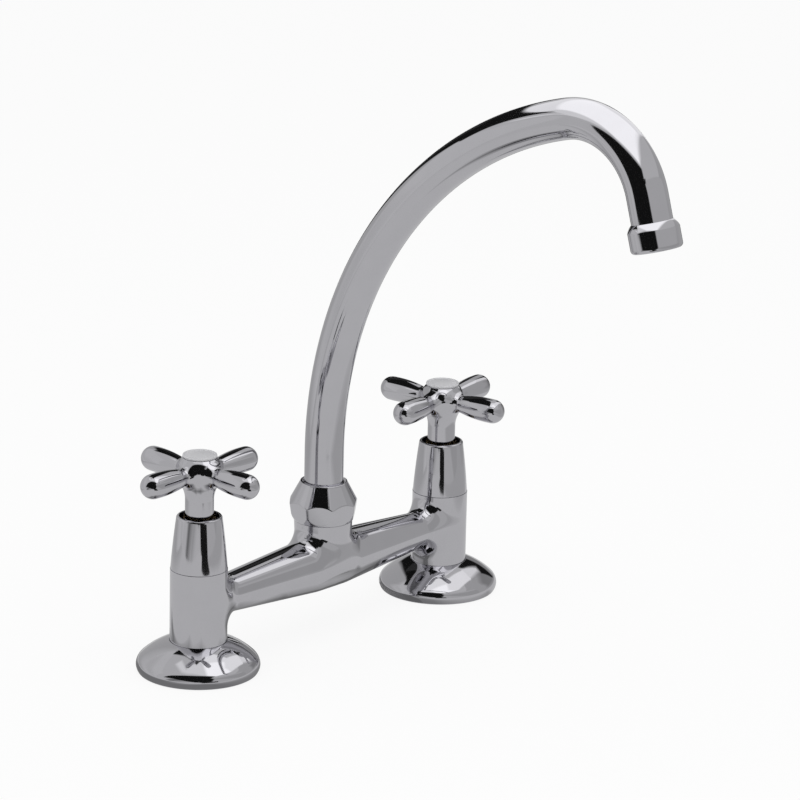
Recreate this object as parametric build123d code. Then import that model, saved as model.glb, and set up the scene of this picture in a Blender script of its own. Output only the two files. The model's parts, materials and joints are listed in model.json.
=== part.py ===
"""Bridge kitchen faucet: two valve pillars joined by a bridge, with a swivelling swan-neck spout.

Millimetres, +Z up. The deck's top surface is z = 0 and the origin lies midway between the two
deck holes. X runs along the bridge, the left pillar at -X, and the spout reaches towards -Y.
"""
import os
from math import atan2, cos, pi, radians, sin, sqrt, tan

from build123d import *

os.makedirs("parts", exist_ok=True)

SIDES = {"left": -1, "right": 1}

# ---- running, sliding and thread clearances (radial) ----
RUNNING_GAP = 0.08
THREAD_GAP = 0.10
SLIP_GAP = 0.15
FACE_GAP = 0.02
SEAM_BREAK = 0.3
CUT_MARGIN = 1.0
HEX_CHAMFER_ANGLE = 30.0
ARC_INSET = 1 - sqrt(0.5)

# ---- bridge body ----
HOLE_SPACING = 180.0
PILLAR_RADIUS = 14.4
PILLAR_TOP = 53.5
ARM_HEIGHT = 35.45
ARM_ROOT_RADIUS = 14.1
ARM_ROOT_HALF_LENGTH = 10.0
ARM_TIP_RADIUS = 9.3
ARM_BLEND_RADIUS = 60.0
ARM_TO_PILLAR_FILLET = 7.6
BOSS_RADIUS = 14.95
BOSS_ROOT_RADIUS = 13.8
BOSS_TOP = 58.4
BOSS_FILLET = 6.5
WATERWAY_RADIUS = 6.0
INLET_RADIUS = 5.2
SEAT_HEIGHT = 27.0
CENTRE_CHAMBER_RADIUS = 8.0
CENTRE_CHAMBER_FLOOR = 28.0
SPIGOT_RADIUS = 12.9
SPIGOT_HEIGHT = 9.6
SOCKET_FLOOR = 43.0
SOCKET_RADIUS = 10.6

# ---- deck flange and its seal ----
FLANGE_RADIUS = 31.1
FLANGE_BASE_RADIUS = 30.0
FLANGE_RIM_HEIGHT = 3.0
FLANGE_RIM_BULGE = 0.2
FLANGE_SHOULDER_RADIUS = 6.0
FLANGE_SHOULDER_ANGLE = 45.0
FLANGE_HEIGHT = 16.0
FLANGE_CROWN = 0.95
FLANGE_WALL = 1.4
BASE_SEAL_THICKNESS = 1.6
BASE_SEAL_RADIUS = 27.0

# ---- fixings under the deck ----
DECK_THICKNESS = 18.0
SHANK_RADIUS = 10.48
SHANK_BORE = 6.5
SHANK_BELOW_DECK = 50.0
SHANK_IN_PILLAR = 12.0
SHANK_CHAMFER = 1.0
INLET_THREAD_LENGTH = 18.0
THREAD_RELIEF_WIDTH = 1.6
THREAD_RELIEF_RADIUS = 9.4
WASHER_RADIUS = 19.0
RUBBER_WASHER_THICKNESS = 2.5
STEEL_WASHER_THICKNESS = 1.5
BACK_NUT_FLATS = 32.0
BACK_NUT_HEIGHT = 7.0
NUT_CORNER_CHAMFER = 1.2

# ---- valve headwork ----
SEAT_SEAL_INNER = 5.4
SEAT_SEAL_PROUD = 1.2
DISC_THICKNESS = 3.0
DISC_RADIUS = 7.4
DISC_PORT_INNER = 1.8
DISC_PORT_OUTER = 5.2
DISC_PORT_ANGLE = 76.0
BARREL_RADIUS = 8.8
DISC_CHAMBER_RADIUS = 7.5
SEAT_SEAL_THICKNESS = 2.5
WINDOW_LIFT = 0.48
WINDOW_HEIGHT = 5.0
WINDOW_WIDTH = 10.0
BARREL_RISE = 2.6
THREAD_RADIUS = 10.4
JOINT_WASHER_THICKNESS = 0.5
COLLAR_RADIUS = 12.4
COLLAR_THICKNESS = 1.5
HEADWORK_HEX_FLATS = 19.0
HEADWORK_HEX_HEIGHT = 5.0
BONNET_THREAD_RADIUS = 9.5
BONNET_THREAD_LENGTH = 5.5
NECK_RADIUS = 6.6
NECK_TO_HANDLE = 2.6

# ---- spindle ----
SPINDLE_BARREL_RADIUS = 5.5
SPINDLE_BARREL_LIFT = 0.4
SPINDLE_BARREL_LENGTH = 18.6
SPINDLE_DROP = 3.0
SPINDLE_RADIUS = 4.0
SPINDLE_END_GAP = 0.5
SPLINE_TEETH = 20
SPLINE_DEPTH = 0.4
SPLINE_LENGTH = 14.8
FOOT_LENGTH = 12.0
FOOT_WIDTH = 4.0
FOOT_DEPTH = 1.5
SEAL_RING_LIFT = 4.6
SEAL_RING_PITCH = 5.0
SEAL_RING_COUNT = 2
SEAL_RING_SECTION = 0.62
SEAL_GROOVE_DEPTH = 1.3
CLIP_THICKNESS = 1.0
CLIP_RADIUS = 6.0
CLIP_GROOVE_RADIUS = 3.5
CLIP_MOUTH = 5.0

# ---- bonnet ----
BONNET_BASE_RADIUS = 14.25
BONNET_TOP_RADIUS = 11.5
BONNET_MOUTH_RADIUS = 9.9
BONNET_HEIGHT = 27.5
BONNET_BULGE = 0.2
BONNET_WALL = 1.3
BONNET_RIM_RADIUS = 1.1

# ---- cross handle ----
HANDLE_TURN = {"left": 0.0, "right": 5.4}
HANDLE_DIP = 1.4
HANDLE_NECK_RADIUS = 7.2
HANDLE_NECK_HEIGHT = 10.4
HANDLE_FLARE_RADIUS = 9.1
HANDLE_FLARE_LENGTH = 6.5
HANDLE_FLARE_HOLLOW = 0.4
HUB_RADIUS = 11.3
HUB_TOP_RADIUS = 8.5
HUB_LOWER_LENGTH = 7.1
HUB_UPPER_LENGTH = 7.5
HUB_LOWER_BULGE = 0.3
HUB_UPPER_BULGE = 0.95
LOBE_RISE = 6.6
LOBE_REACH = 32.4
LOBE_END_RADIUS = 6.25
LOBE_ROOT = 12.5
LOBE_ROOT_RADIUS = 4.4
LOBE_BULGE = 0.65
LOBE_FLARE_RUN = 5.0
LOBE_FLARE_RISE = 3.0
LOBE_FLARE_HOLLOW = 0.72
LOBE_COUNT = 4
SCREW_SEAT_RISE = 4.0
SCREW_SEAT_WEB = 2.2
SCREW_HEAD_RADIUS = 4.2
SCREW_HEAD_HEIGHT = 2.8
SCREW_RADIUS = 2.0
SCREW_LENGTH = 12.0
SCREW_WELL_RADIUS = 5.0
SCREW_SLOT = 1.0
CAP_RADIUS = 8.6
CAP_EDGE = 1.4
CAP_DOME = 0.5
CAP_PLUG_RADIUS = 6.8
CAP_PLUG_DEPTH = 2.4
CAP_PLUG_END_GAP = 0.7

# ---- union nut ----
NUT_BOTTOM_RADIUS = 15.2
NUT_RIDGE_RADIUS = 18.0
NUT_RIDGE_HEIGHT = 67.5
NUT_SIDE_BULGE = 0.6
NUT_FACETS = 8
NUT_FOOT_CORNER = 16.6
NUT_RIM_RADIUS = 12.15
NUT_TOP = 79.0
NUT_RIM_EDGE = 0.5
NUT_TURN = 36.5
NUT_MOUTH_CHAMFER = 0.8

# ---- spout ----
SPOUT_RADIUS = 10.0
SPOUT_WALL = 1.2
SPOUT_COLLAR_RADIUS = 12.3
SPOUT_COLLAR_THICKNESS = 2.4
SWIVEL_WASHER_THICKNESS = 1.0
BUSH_SPIGOT_LENGTH = 12.0
BUSH_BOTTOM = 43.6
BUSH_BORE = 7.2
BUSH_RING_HEIGHTS = (48.0, 54.0)
BUSH_RING_SECTION = 0.85
BUSH_GROOVE_DEPTH = 1.75
SPOUT_RISE = 94.4
SPOUT_SWEEP_RADIUS = 206.3
SPOUT_SWEEP_ANGLE = 74.8
SPOUT_HOOK_RADIUS = 41.1
SPOUT_HOOK_ANGLE = 88.9
SPOUT_TAIL = 12.4

# ---- outlet ----
NOZZLE_RADIUS = 12.5
NOZZLE_SHOULDER = 3.7
NOZZLE_SHOULDER_BULGE = 0.25
NOZZLE_LENGTH = 13.8
NOZZLE_EDGE_RADIUS = 1.9
NOZZLE_SOCKET = 5.0
AERATOR_RADIUS = 10.2
AERATOR_LIP = 9.0
AERATOR_STEP = 1.0
AERATOR_WASHER_THICKNESS = 1.2
AERATOR_RECESS = 0.5
AERATOR_HOLE_RADIUS = 0.75
AERATOR_HOLE_PITCH = 2.4
AERATOR_HOLE_RINGS = 3
AERATOR_RIM = 1.2
AERATOR_FACE = 1.6


# ---- heights that stack up from the pillars to the handles' caps ----
BONNET_TOP = PILLAR_TOP + BONNET_HEIGHT
HANDLE_BOTTOM = BONNET_TOP - HANDLE_DIP
NECK_TOP = HANDLE_BOTTOM - NECK_TO_HANDLE
HANDLE_NECK_TOP = HANDLE_BOTTOM + HANDLE_NECK_HEIGHT
HANDLE_FLARE_TOP = HANDLE_NECK_TOP + HANDLE_FLARE_LENGTH
HUB_BELLY = HANDLE_FLARE_TOP + HUB_LOWER_LENGTH
HUB_TOP = HUB_BELLY + HUB_UPPER_LENGTH
LOBE_HEIGHT = HANDLE_FLARE_TOP + LOBE_RISE
SCREW_SEAT = HANDLE_FLARE_TOP + SCREW_SEAT_RISE
SPINDLE_TOP = SCREW_SEAT - SCREW_SEAT_WEB - SPINDLE_END_GAP
SPLINE_BOTTOM = SPINDLE_TOP - SPLINE_LENGTH
CAP_WELL_FLOOR = HUB_TOP - CAP_PLUG_DEPTH - CAP_PLUG_END_GAP


# ---------------------------------------------------------------- outline helpers
def flat(point):
    """A (radius, height) pair as a point of the XZ plane."""
    return (point[0], 0, point[1])


def outline(start, *steps):
    """A closed face in the XZ plane; a step is a point, or a (via, end) pair for an arc."""
    edges = []
    here = start
    for step in steps:
        if isinstance(step[0], tuple):
            via, end = step
            edges.append(ThreePointArc(flat(here), flat(via), flat(end)))
        else:
            end = step
            edges.append(Line(flat(here), flat(end)))
        here = end
    edges.append(Line(flat(here), flat(start)))
    return make_face(edges)


def turned(start, *steps):
    """The solid that an outline makes when it is turned about Z."""
    return revolve(outline(start, *steps), Axis.Z)


def ring(inner, outer, bottom, top):
    """A plain ring about Z."""
    return turned((inner, bottom), (outer, bottom), (outer, top), (inner, top))


def rod(radius, bottom, top):
    """A plain round bar about Z."""
    return Pos(0, 0, bottom) * Cylinder(radius, top - bottom, align=(Align.CENTER, Align.CENTER, Align.MIN))


def bulged(start, end, bulge):
    """The middle point of an arc from start to end that stands out by bulge, away from the axis."""
    run = end[0] - start[0]
    rise = end[1] - start[1]
    length = sqrt(run * run + rise * rise)
    return ((start[0] + end[0]) / 2 + bulge * rise / length, (start[1] + end[1]) / 2 - bulge * run / length)


def hexagon_bar(flats, bottom, top, chamfer):
    """A hexagon bar about Z with its corners turned off at both ends."""
    corner = flats / sqrt(3)
    bar = Pos(0, 0, bottom) * extrude(RegularPolygon(corner, 6), top - bottom)
    drop = chamfer * tan(radians(HEX_CHAMFER_ANGLE))
    turned_off = turned((0, bottom), (corner - chamfer, bottom), (corner, bottom + drop),
                        (corner, top - drop), (corner - chamfer, top), (0, top))
    return bar & turned_off


def pillar_place(side):
    return Pos(SIDES[side] * HOLE_SPACING / 2, 0, 0)


def save(solid, name):
    solid.label = name
    export_step(solid, f"parts/{name}.step")


# ---------------------------------------------------------------- bridge body
def arm():
    """One arm along +X from the middle: a short round bar that eases into a long cone."""
    end = HOLE_SPACING / 2
    cone_run = end - PILLAR_RADIUS - ARM_ROOT_HALF_LENGTH
    slope = atan2(ARM_ROOT_RADIUS - ARM_TIP_RADIUS, cone_run)
    ease = ARM_BLEND_RADIUS * tan(slope / 2)
    bar_end = (ARM_ROOT_HALF_LENGTH - ease, ARM_ROOT_RADIUS)
    via = (bar_end[0] + ARM_BLEND_RADIUS * sin(slope / 2),
           ARM_ROOT_RADIUS - ARM_BLEND_RADIUS * (1 - cos(slope / 2)))
    cone_start = (ARM_ROOT_HALF_LENGTH + ease * cos(slope), ARM_ROOT_RADIUS - ease * sin(slope))
    cone_end = (end, ARM_ROOT_RADIUS - (end - ARM_ROOT_HALF_LENGTH) * tan(slope))
    section = outline((0, 0), (0, ARM_ROOT_RADIUS), bar_end, (via, cone_start), cone_end, (end, 0))
    return Pos(0, 0, ARM_HEIGHT) * Rot(180, 0, 0) * revolve(section, Axis.X)


def crossing_edges(body, nearest, furthest):
    """The curved edges where two round bars of the body cross, between two distances from the middle."""
    return [edge for edge in body.edges().filter_by(GeomType.BSPLINE)
            if nearest <= abs(edge.center().X) <= furthest]


def bridge_outside():
    """Arms, boss and pillars with their blends; each bar's own seam line is turned off the blends."""
    body = arm() + Rot(0, 0, 180) * arm()
    boss = turned((0, ARM_HEIGHT), (BOSS_ROOT_RADIUS, ARM_HEIGHT), (BOSS_RADIUS, BOSS_TOP), (0, BOSS_TOP))
    body = body + Rot(0, 0, 90) * boss
    body = fillet(crossing_edges(body, 0, BOSS_RADIUS), BOSS_FILLET)
    for side in SIDES:
        body = body + pillar_place(side) * Rot(0, 0, 90) * rod(PILLAR_RADIUS, BASE_SEAL_THICKNESS, PILLAR_TOP)
    reach = HOLE_SPACING / 2
    return fillet(crossing_edges(body, reach - PILLAR_RADIUS, reach), ARM_TO_PILLAR_FILLET)


def bridge_body():
    body = bridge_outside()
    body = body + rod(SPIGOT_RADIUS, SOCKET_FLOOR, BOSS_TOP + SPIGOT_HEIGHT)
    for side in SIDES:
        shank_hole = rod(SHANK_RADIUS + THREAD_GAP, 0, BASE_SEAL_THICKNESS + SHANK_IN_PILLAR)
        inlet = rod(INLET_RADIUS, 0, SEAT_HEIGHT)
        chamber = rod(THREAD_RADIUS + THREAD_GAP, SEAT_HEIGHT, PILLAR_TOP)
        body = body - pillar_place(side) * (shank_hole + inlet + chamber)
    half_span = HOLE_SPACING / 2
    crossing = Plane.YZ * Pos(0, ARM_HEIGHT, -half_span) * extrude(Circle(WATERWAY_RADIUS), 2 * half_span)
    body = body - crossing
    body = body - rod(CENTRE_CHAMBER_RADIUS, CENTRE_CHAMBER_FLOOR, SOCKET_FLOOR)
    return body - rod(SOCKET_RADIUS, SOCKET_FLOOR, BOSS_TOP + SPIGOT_HEIGHT)


# ---------------------------------------------------------------- flange and deck fixings
def flange_outline(inset):
    """Outer or, with an inset, inner outline of the flange's dome from the deck to its hole."""
    angle = radians(FLANGE_SHOULDER_ANGLE)
    centre = (FLANGE_RADIUS - FLANGE_SHOULDER_RADIUS, FLANGE_RIM_HEIGHT)
    small = FLANGE_SHOULDER_RADIUS - inset
    base = (FLANGE_BASE_RADIUS - inset, 0)
    rim = (FLANGE_RADIUS - inset, FLANGE_RIM_HEIGHT)
    shoulder_middle = (centre[0] + small * cos(angle / 2), centre[1] + small * sin(angle / 2))
    shoulder = (centre[0] + small * cos(angle), centre[1] + small * sin(angle))
    hole = (PILLAR_RADIUS + SLIP_GAP, FLANGE_HEIGHT - inset)
    crown = bulged(hole, shoulder, -FLANGE_CROWN)
    return base, bulged(base, rim, FLANGE_RIM_BULGE), rim, shoulder_middle, shoulder, crown, hole


def flange():
    base, low, rim, middle, shoulder, crown, hole = flange_outline(0)
    outside = turned((hole[0], 0), base, (low, rim), (middle, shoulder), (crown, hole))
    base, low, rim, middle, shoulder, crown, hole = flange_outline(FLANGE_WALL)
    inside = turned((hole[0], 0), base, (low, rim), (middle, shoulder), (crown, hole))
    return outside - inside


def base_seal():
    return ring(SHANK_RADIUS + SLIP_GAP, BASE_SEAL_RADIUS, 0, BASE_SEAL_THICKNESS)


def shank():
    top = BASE_SEAL_THICKNESS + SHANK_IN_PILLAR - FACE_GAP
    bottom = -SHANK_BELOW_DECK
    tapered = SHANK_RADIUS - SHANK_CHAMFER
    bar = turned((SHANK_BORE, bottom), (tapered, bottom), (SHANK_RADIUS, bottom + SHANK_CHAMFER),
                 (SHANK_RADIUS, top - SHANK_CHAMFER), (tapered, top), (SHANK_BORE, top))
    relief = bottom + SHANK_CHAMFER + INLET_THREAD_LENGTH
    return bar - ring(THREAD_RELIEF_RADIUS, SHANK_RADIUS + CUT_MARGIN, relief, relief + THREAD_RELIEF_WIDTH)


def deck_rubber_washer():
    top = -DECK_THICKNESS
    return ring(SHANK_RADIUS + SLIP_GAP, WASHER_RADIUS, top - RUBBER_WASHER_THICKNESS, top)


def deck_steel_washer():
    top = -DECK_THICKNESS - RUBBER_WASHER_THICKNESS
    return ring(SHANK_RADIUS + SLIP_GAP, WASHER_RADIUS, top - STEEL_WASHER_THICKNESS, top)


def back_nut():
    top = -DECK_THICKNESS - RUBBER_WASHER_THICKNESS - STEEL_WASHER_THICKNESS
    bottom = top - BACK_NUT_HEIGHT
    nut = hexagon_bar(BACK_NUT_FLATS, bottom, top, NUT_CORNER_CHAMFER)
    return nut - rod(SHANK_RADIUS + THREAD_GAP, bottom, top)


# ---------------------------------------------------------------- valve headwork
FIXED_DISC_BOTTOM = SEAT_HEIGHT + SEAT_SEAL_THICKNESS
MOVING_DISC_BOTTOM = FIXED_DISC_BOTTOM + DISC_THICKNESS + FACE_GAP
MOVING_DISC_TOP = MOVING_DISC_BOTTOM + DISC_THICKNESS
COLLAR_BOTTOM = PILLAR_TOP + JOINT_WASHER_THICKNESS
HEX_BOTTOM = COLLAR_BOTTOM + COLLAR_THICKNESS
BONNET_THREAD_BOTTOM = HEX_BOTTOM + HEADWORK_HEX_HEIGHT
BONNET_THREAD_TOP = BONNET_THREAD_BOTTOM + BONNET_THREAD_LENGTH
WINDOW_BOTTOM = MOVING_DISC_TOP + WINDOW_LIFT
WINDOW_TOP = WINDOW_BOTTOM + WINDOW_HEIGHT
SPINDLE_BARREL_BOTTOM = WINDOW_TOP + SPINDLE_BARREL_LIFT
SPINDLE_BARREL_TOP = SPINDLE_BARREL_BOTTOM + SPINDLE_BARREL_LENGTH
BARREL_TOP = SPINDLE_BARREL_BOTTOM + BARREL_RISE
SEAL_RING_HEIGHTS = [SPINDLE_BARREL_BOTTOM + SEAL_RING_LIFT + index * SEAL_RING_PITCH
                     for index in range(SEAL_RING_COUNT)]


def seat_seal():
    return ring(SEAT_SEAL_INNER, DISC_RADIUS, SEAT_HEIGHT, FIXED_DISC_BOTTOM)


def valve_disc(bottom, port_direction):
    """A ceramic disc with two facing ports."""
    top = bottom + DISC_THICKNESS
    disc = rod(DISC_RADIUS, bottom, top)
    port = ring(DISC_PORT_INNER, DISC_PORT_OUTER, bottom, top)
    half = radians(DISC_PORT_ANGLE / 2)
    reach = DISC_PORT_OUTER / cos(half) ** 2
    corners = [(0, 0), (reach * cos(half), -reach * sin(half)), (reach * cos(half), reach * sin(half))]
    wedge = Pos(0, 0, bottom) * extrude(make_face(Polyline(*corners, close=True)), DISC_THICKNESS)
    for turn in (0, 180):
        disc = disc - Rot(0, 0, port_direction + turn) * (port & wedge)
    return disc


def fixed_disc():
    return valve_disc(FIXED_DISC_BOTTOM, 0)


def moving_disc():
    disc = valve_disc(MOVING_DISC_BOTTOM, 90)
    slot = Pos(0, 0, MOVING_DISC_TOP - FOOT_DEPTH / 2) * Box(
        FOOT_LENGTH + 2 * SLIP_GAP, FOOT_WIDTH + 2 * SLIP_GAP, FOOT_DEPTH)
    return disc - slot


def valve_body():
    body = rod(BARREL_RADIUS, SEAT_HEIGHT + SEAT_SEAL_PROUD, BARREL_TOP)
    body = body + rod(THREAD_RADIUS, BARREL_TOP, COLLAR_BOTTOM)
    body = body + rod(COLLAR_RADIUS, COLLAR_BOTTOM, HEX_BOTTOM)
    body = body + hexagon_bar(HEADWORK_HEX_FLATS, HEX_BOTTOM, BONNET_THREAD_BOTTOM, NUT_CORNER_CHAMFER / 2)
    body = body + rod(BONNET_THREAD_RADIUS, BONNET_THREAD_BOTTOM, BONNET_THREAD_TOP)
    body = body + rod(NECK_RADIUS, BONNET_THREAD_TOP, NECK_TOP)
    body = body - rod(DISC_CHAMBER_RADIUS, SEAT_HEIGHT, SPINDLE_BARREL_BOTTOM)
    bore_top = SPINDLE_BARREL_TOP + RUNNING_GAP
    body = body - rod(SPINDLE_BARREL_RADIUS + RUNNING_GAP, SPINDLE_BARREL_BOTTOM, bore_top)
    body = body - rod(SPINDLE_RADIUS + RUNNING_GAP, SPINDLE_BARREL_TOP, NECK_TOP)
    window = Pos(0, 0, (WINDOW_BOTTOM + WINDOW_TOP) / 2) * Box(
        WINDOW_WIDTH, 2 * BARREL_RADIUS + CUT_MARGIN, WINDOW_TOP - WINDOW_BOTTOM)
    return body - window


def joint_washer():
    return ring(THREAD_RADIUS + THREAD_GAP, COLLAR_RADIUS, PILLAR_TOP, COLLAR_BOTTOM)


def spline_profile(extra):
    """Toothed outline of the spindle's head, grown outwards by extra."""
    points = []
    for step in range(2 * SPLINE_TEETH):
        radius = SPINDLE_RADIUS + extra - (SPLINE_DEPTH if step % 2 else 0)
        angle = pi * step / SPLINE_TEETH
        points.append((radius * cos(angle), radius * sin(angle)))
    return make_face(Polyline(*points, close=True))


def valve_spindle(side):
    foot_top = SPINDLE_BARREL_BOTTOM - SPINDLE_DROP
    stem = rod(SPINDLE_BARREL_RADIUS, foot_top, SPINDLE_BARREL_TOP)
    for height in SEAL_RING_HEIGHTS:
        half = SEAL_RING_SECTION + FACE_GAP
        floor = SPINDLE_BARREL_RADIUS - SEAL_GROOVE_DEPTH
        stem = stem - ring(floor, SPINDLE_BARREL_RADIUS + CUT_MARGIN, height - half, height + half)
    foot_bottom = MOVING_DISC_TOP - FOOT_DEPTH + FACE_GAP
    foot_height = foot_top - foot_bottom
    stem = stem + Pos(0, 0, foot_bottom + foot_height / 2) * Box(FOOT_LENGTH, FOOT_WIDTH, foot_height)
    stem = stem + rod(SPINDLE_RADIUS, SPINDLE_BARREL_TOP, SPLINE_BOTTOM)
    clip_bottom = NECK_TOP + RUNNING_GAP
    stem = stem - ring(CLIP_GROOVE_RADIUS, SPINDLE_RADIUS + CUT_MARGIN, clip_bottom, clip_bottom + CLIP_THICKNESS)
    head = Pos(0, 0, SPLINE_BOTTOM) * extrude(spline_profile(0), SPINDLE_TOP - SPLINE_BOTTOM)
    stem = stem + Rot(0, 0, HANDLE_TURN[side]) * head
    screw_tip = SCREW_SEAT - SCREW_LENGTH
    return stem - rod(SCREW_RADIUS + THREAD_GAP, screw_tip - SCREW_RADIUS, SPINDLE_TOP)


def seal_rings(heights, section, outer):
    """Round-section sealing rings, one at each height, that reach out to the outer radius."""
    return Compound([Pos(0, 0, height) * Torus(outer - section, section) for height in heights])


def spindle_seals():
    return seal_rings(SEAL_RING_HEIGHTS, SEAL_RING_SECTION, SPINDLE_BARREL_RADIUS)


def spindle_clip():
    bottom = NECK_TOP + RUNNING_GAP
    clip = ring(CLIP_GROOVE_RADIUS + FACE_GAP, CLIP_RADIUS, bottom, bottom + CLIP_THICKNESS - FACE_GAP)
    mouth = Pos(0, CLIP_RADIUS, bottom + CLIP_THICKNESS / 2) * Box(CLIP_MOUTH, 2 * CLIP_RADIUS, CLIP_THICKNESS)
    return clip - mouth


# ---------------------------------------------------------------- bonnet
def bonnet():
    base = (BONNET_BASE_RADIUS, PILLAR_TOP + SEAM_BREAK)
    shoulder = (BONNET_TOP_RADIUS, BONNET_TOP - BONNET_RIM_RADIUS)
    inset = BONNET_RIM_RADIUS * ARC_INSET
    rim_via = (BONNET_TOP_RADIUS - inset, BONNET_TOP - inset)
    rim = (BONNET_TOP_RADIUS - BONNET_RIM_RADIUS, BONNET_TOP)
    outside = turned((0, PILLAR_TOP), (BONNET_BASE_RADIUS - SEAM_BREAK, PILLAR_TOP), base,
                     (bulged(base, shoulder, BONNET_BULGE), shoulder), (rim_via, rim), (0, BONNET_TOP))
    low = (BONNET_BASE_RADIUS - BONNET_WALL, PILLAR_TOP)
    high = (BONNET_MOUTH_RADIUS, BONNET_TOP)
    inside = turned((0, PILLAR_TOP), low, (bulged(low, high, BONNET_BULGE), high), (0, BONNET_TOP))
    collar = ring(BONNET_THREAD_RADIUS + THREAD_GAP, BONNET_BASE_RADIUS, BONNET_THREAD_BOTTOM + THREAD_GAP,
                  BONNET_THREAD_TOP)
    return (outside - inside) + (outside & collar)


# ---------------------------------------------------------------- cross handle
def handle_hub():
    neck_top = (HANDLE_NECK_RADIUS, HANDLE_NECK_TOP)
    flare = (HANDLE_FLARE_RADIUS, HANDLE_FLARE_TOP)
    belly = (HUB_RADIUS, HUB_BELLY)
    top = (HUB_TOP_RADIUS, HUB_TOP)
    return turned((0, HANDLE_BOTTOM), (HANDLE_NECK_RADIUS, HANDLE_BOTTOM), neck_top,
                  (bulged(neck_top, flare, -HANDLE_FLARE_HOLLOW), flare),
                  (bulged(flare, belly, HUB_LOWER_BULGE), belly), (bulged(belly, top, HUB_UPPER_BULGE), top),
                  (0, HUB_TOP))


def handle_lobe():
    """One pear-shaped lobe along +X, a swelling bar closed by a ball."""
    tangent = (LOBE_REACH, LOBE_END_RADIUS)
    tip = (LOBE_REACH + LOBE_END_RADIUS, 0)
    via = (LOBE_REACH + LOBE_END_RADIUS * cos(pi / 4), LOBE_END_RADIUS * sin(pi / 4))
    root = (LOBE_ROOT, LOBE_ROOT_RADIUS)
    wide = (LOBE_ROOT - LOBE_FLARE_RUN, LOBE_ROOT_RADIUS + LOBE_FLARE_RISE)
    flare_via = bulged(root, wide, -LOBE_FLARE_HOLLOW)
    edges = [Line((0, 0), (0, wide[1])), Line((0, wide[1]), wide), ThreePointArc(wide, flare_via, root),
             ThreePointArc(root, bulged(root, tangent, -LOBE_BULGE), tangent),
             ThreePointArc(tangent, via, tip), Line(tip, (0, 0))]
    lobe = revolve(make_face(edges), Axis.X)
    return Pos(0, 0, LOBE_HEIGHT) * lobe


def handle(side):
    body = handle_hub()
    for index in range(LOBE_COUNT):
        body = body + Rot(0, 0, index * 360 / LOBE_COUNT) * handle_lobe()
    body = body - rod(SPINDLE_RADIUS + SLIP_GAP, HANDLE_BOTTOM, SPLINE_BOTTOM + SLIP_GAP)
    spline = extrude(spline_profile(THREAD_GAP), SPINDLE_TOP + SPINDLE_END_GAP - HANDLE_BOTTOM)
    body = body - Pos(0, 0, HANDLE_BOTTOM) * spline
    body = body - rod(SCREW_RADIUS + SLIP_GAP, SPINDLE_TOP, SCREW_SEAT)
    body = body - rod(SCREW_WELL_RADIUS, SCREW_SEAT, HUB_TOP)
    body = body - rod(CAP_PLUG_RADIUS + THREAD_GAP, CAP_WELL_FLOOR, HUB_TOP)
    return Rot(0, 0, HANDLE_TURN[side]) * body


def handle_screw():
    top = SCREW_SEAT + SCREW_HEAD_HEIGHT
    screw = rod(SCREW_RADIUS, SCREW_SEAT - SCREW_LENGTH, SCREW_SEAT)
    head = rod(SCREW_HEAD_RADIUS, SCREW_SEAT, top)
    head = fillet(head.edges().group_by(Axis.Z)[-1], SCREW_HEAD_HEIGHT / 3)
    for turn in (0, 90):
        slot = Box(SCREW_HEAD_RADIUS, SCREW_SLOT, SCREW_HEAD_HEIGHT)
        head = head - Pos(0, 0, top) * Rot(0, 0, turn) * slot
    return screw + head


def dome_middle(radius, height):
    """The halfway point of a ball-shaped dome's section, from (radius, 0) up to (0, height)."""
    ball = (radius * radius + height * height) / (2 * height)
    half = atan2(radius, ball - height) / 2
    return ball * sin(half), ball * cos(half) - ball + height


def index_cap():
    edge = HUB_TOP + CAP_EDGE
    crown = edge + CAP_DOME
    middle = dome_middle(CAP_RADIUS - SEAM_BREAK, CAP_DOME)
    cap = turned((0, HUB_TOP), (CAP_RADIUS - SEAM_BREAK, HUB_TOP), (CAP_RADIUS, HUB_TOP + SEAM_BREAK),
                 (CAP_RADIUS, edge - SEAM_BREAK), (CAP_RADIUS - SEAM_BREAK, edge),
                 ((middle[0], edge + middle[1]), (0, crown)))
    return cap + rod(CAP_PLUG_RADIUS, HUB_TOP - CAP_PLUG_DEPTH, HUB_TOP)


# ---------------------------------------------------------------- union nut
SPIGOT_TOP = BOSS_TOP + SPIGOT_HEIGHT
SPOUT_COLLAR_BOTTOM = SPIGOT_TOP + SWIVEL_WASHER_THICKNESS
SPOUT_FOOT = SPOUT_COLLAR_BOTTOM + SPOUT_COLLAR_THICKNESS


def octagon(corner, height):
    face = RegularPolygon(corner, NUT_FACETS, rotation=NUT_TURN + 180 / NUT_FACETS)
    return Pos(0, 0, height) * face


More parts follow.
